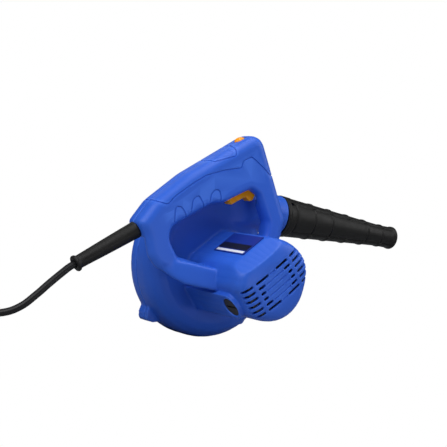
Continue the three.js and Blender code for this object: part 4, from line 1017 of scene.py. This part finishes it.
def ray_share(material_tree, names):
    """1 for the kinds of ray named, else 0."""
    path = material_tree.nodes.new("ShaderNodeLightPath")
    share = path.outputs[names[0]]
    for name in names[1:]:
        most = material_tree.nodes.new("ShaderNodeMath")
        most.operation = "MAXIMUM"
        material_tree.links.new(share, most.inputs[0])
        material_tree.links.new(path.outputs[name], most.inputs[1])
        share = most.outputs[0]
    return share


def make_floor():
    half = 6.0
    mesh = bpy.data.meshes.new("floor")
    level = -0.0003
    corners = [(-half, -half, level), (half, -half, level), (half, half, level), (-half, half, level)]
    mesh.from_pydata(corners, [], [(0, 1, 2, 3)])
    floor = bpy.data.objects.new("floor", mesh)
    bpy.context.scene.collection.objects.link(floor)
    material = bpy.data.materials.new("floor")
    material.use_nodes = True
    tree = material.node_tree
    tree.nodes.clear()
    output = tree.nodes.new("ShaderNodeOutputMaterial")
    mix = tree.nodes.new("ShaderNodeMixShader")
    matt = tree.nodes.new("ShaderNodeBsdfDiffuse")
    matt.inputs["Color"].default_value = (0.34, 0.35, 0.37, 1)
    white = tree.nodes.new("ShaderNodeEmission")
    tree.links.new(ray_share(tree, ["Is Camera Ray"]), mix.inputs[0])
    tree.links.new(matt.outputs[0], mix.inputs[1])
    tree.links.new(white.outputs[0], mix.inputs[2])
    tree.links.new(mix.outputs[0], output.inputs["Surface"])
    mesh.materials.append(material)


def make_world():
    world = bpy.data.worlds.new("studio")
    bpy.context.scene.world = world
    world.use_nodes = True
    tree = world.node_tree
    tree.nodes.clear()
    output = tree.nodes.new("ShaderNodeOutputWorld")
    mix = tree.nodes.new("ShaderNodeMixShader")
    soft = tree.nodes.new("ShaderNodeBackground")
    soft.inputs["Color"].default_value = (0.86, 0.92, 1.0, 1)
    soft.inputs["Strength"].default_value = 0.06
    white = tree.nodes.new("ShaderNodeBackground")
    white.inputs["Color"].default_value = (1, 1, 1, 1)
    tree.links.new(ray_share(tree, ["Is Camera Ray"]), mix.inputs[0])
    tree.links.new(soft.outputs[0], mix.inputs[1])
    tree.links.new(white.outputs[0], mix.inputs[2])
    tree.links.new(mix.outputs[0], output.inputs["Surface"])


def softbox(name, place, target, size, power):
    light = bpy.data.lights.new(name, "AREA")
    light.shape = "RECTANGLE"
    light.size, light.size_y = size
    light.energy = power
    made = bpy.data.objects.new(name, light)
    bpy.context.scene.collection.objects.link(made)
    made.location = place
    made.rotation_euler = (Vector(target) - Vector(place)).to_track_quat("-Z", "Y").to_euler()


STUDIO_MIDDLE = (0, 0, 0.08)
STUDIO_RADIUS = 1.3
SOFTBOXES = (  # degrees to the left of the tool's near side, degrees up, side of the box, watts
    ("key_left", 60, 30, 0.8, 6.2),
    ("side_left", 90, 30, 0.8, 4.8),
    ("fill_right", -60, 30, 0.8, 4.4),
    ("front_high", 0, 60, 0.8, 5.6),
    ("overhead", 0, 88, 0.8, 5.6),
    ("behind", 180, 45, 0.8, 1.0),
)
LOW_FRONT = ((0.10, -0.62, 0.035), (0.02, -0.06, 0.06), (0.36, 0.06), 0.36)  # place, aim, sides, watts


def make_lights():
    for name, left, high, side, power in SOFTBOXES:
        left, high = math.radians(left), math.radians(high)
        place = Vector((
            -math.sin(left) * math.cos(high), -math.cos(left) * math.cos(high), math.sin(high),
        )) * STUDIO_RADIUS + Vector(STUDIO_MIDDLE)
        softbox(name, place, STUDIO_MIDDLE, (side, side), power)
    softbox("low_front", *LOW_FRONT)


# ---------------------------------------------------------------- the scene

make_camera()
lead, lead_exit, lead_length = make_lead()
make_sleeve()
tie = make_tie()

slots = {part["node"]: part["material_slot"] for part in frame["record"]["subparts"]}
for name, obj in frame["nodes"].items():
    obj.data.materials.clear()
    obj.data.materials.append(MATERIALS[slots[name]])

make_nozzle()
make_shells()
make_shade_ring()
make_floor()
make_world()
make_lights()

view = bpy.context.scene.view_settings
view.view_transform = "Standard"
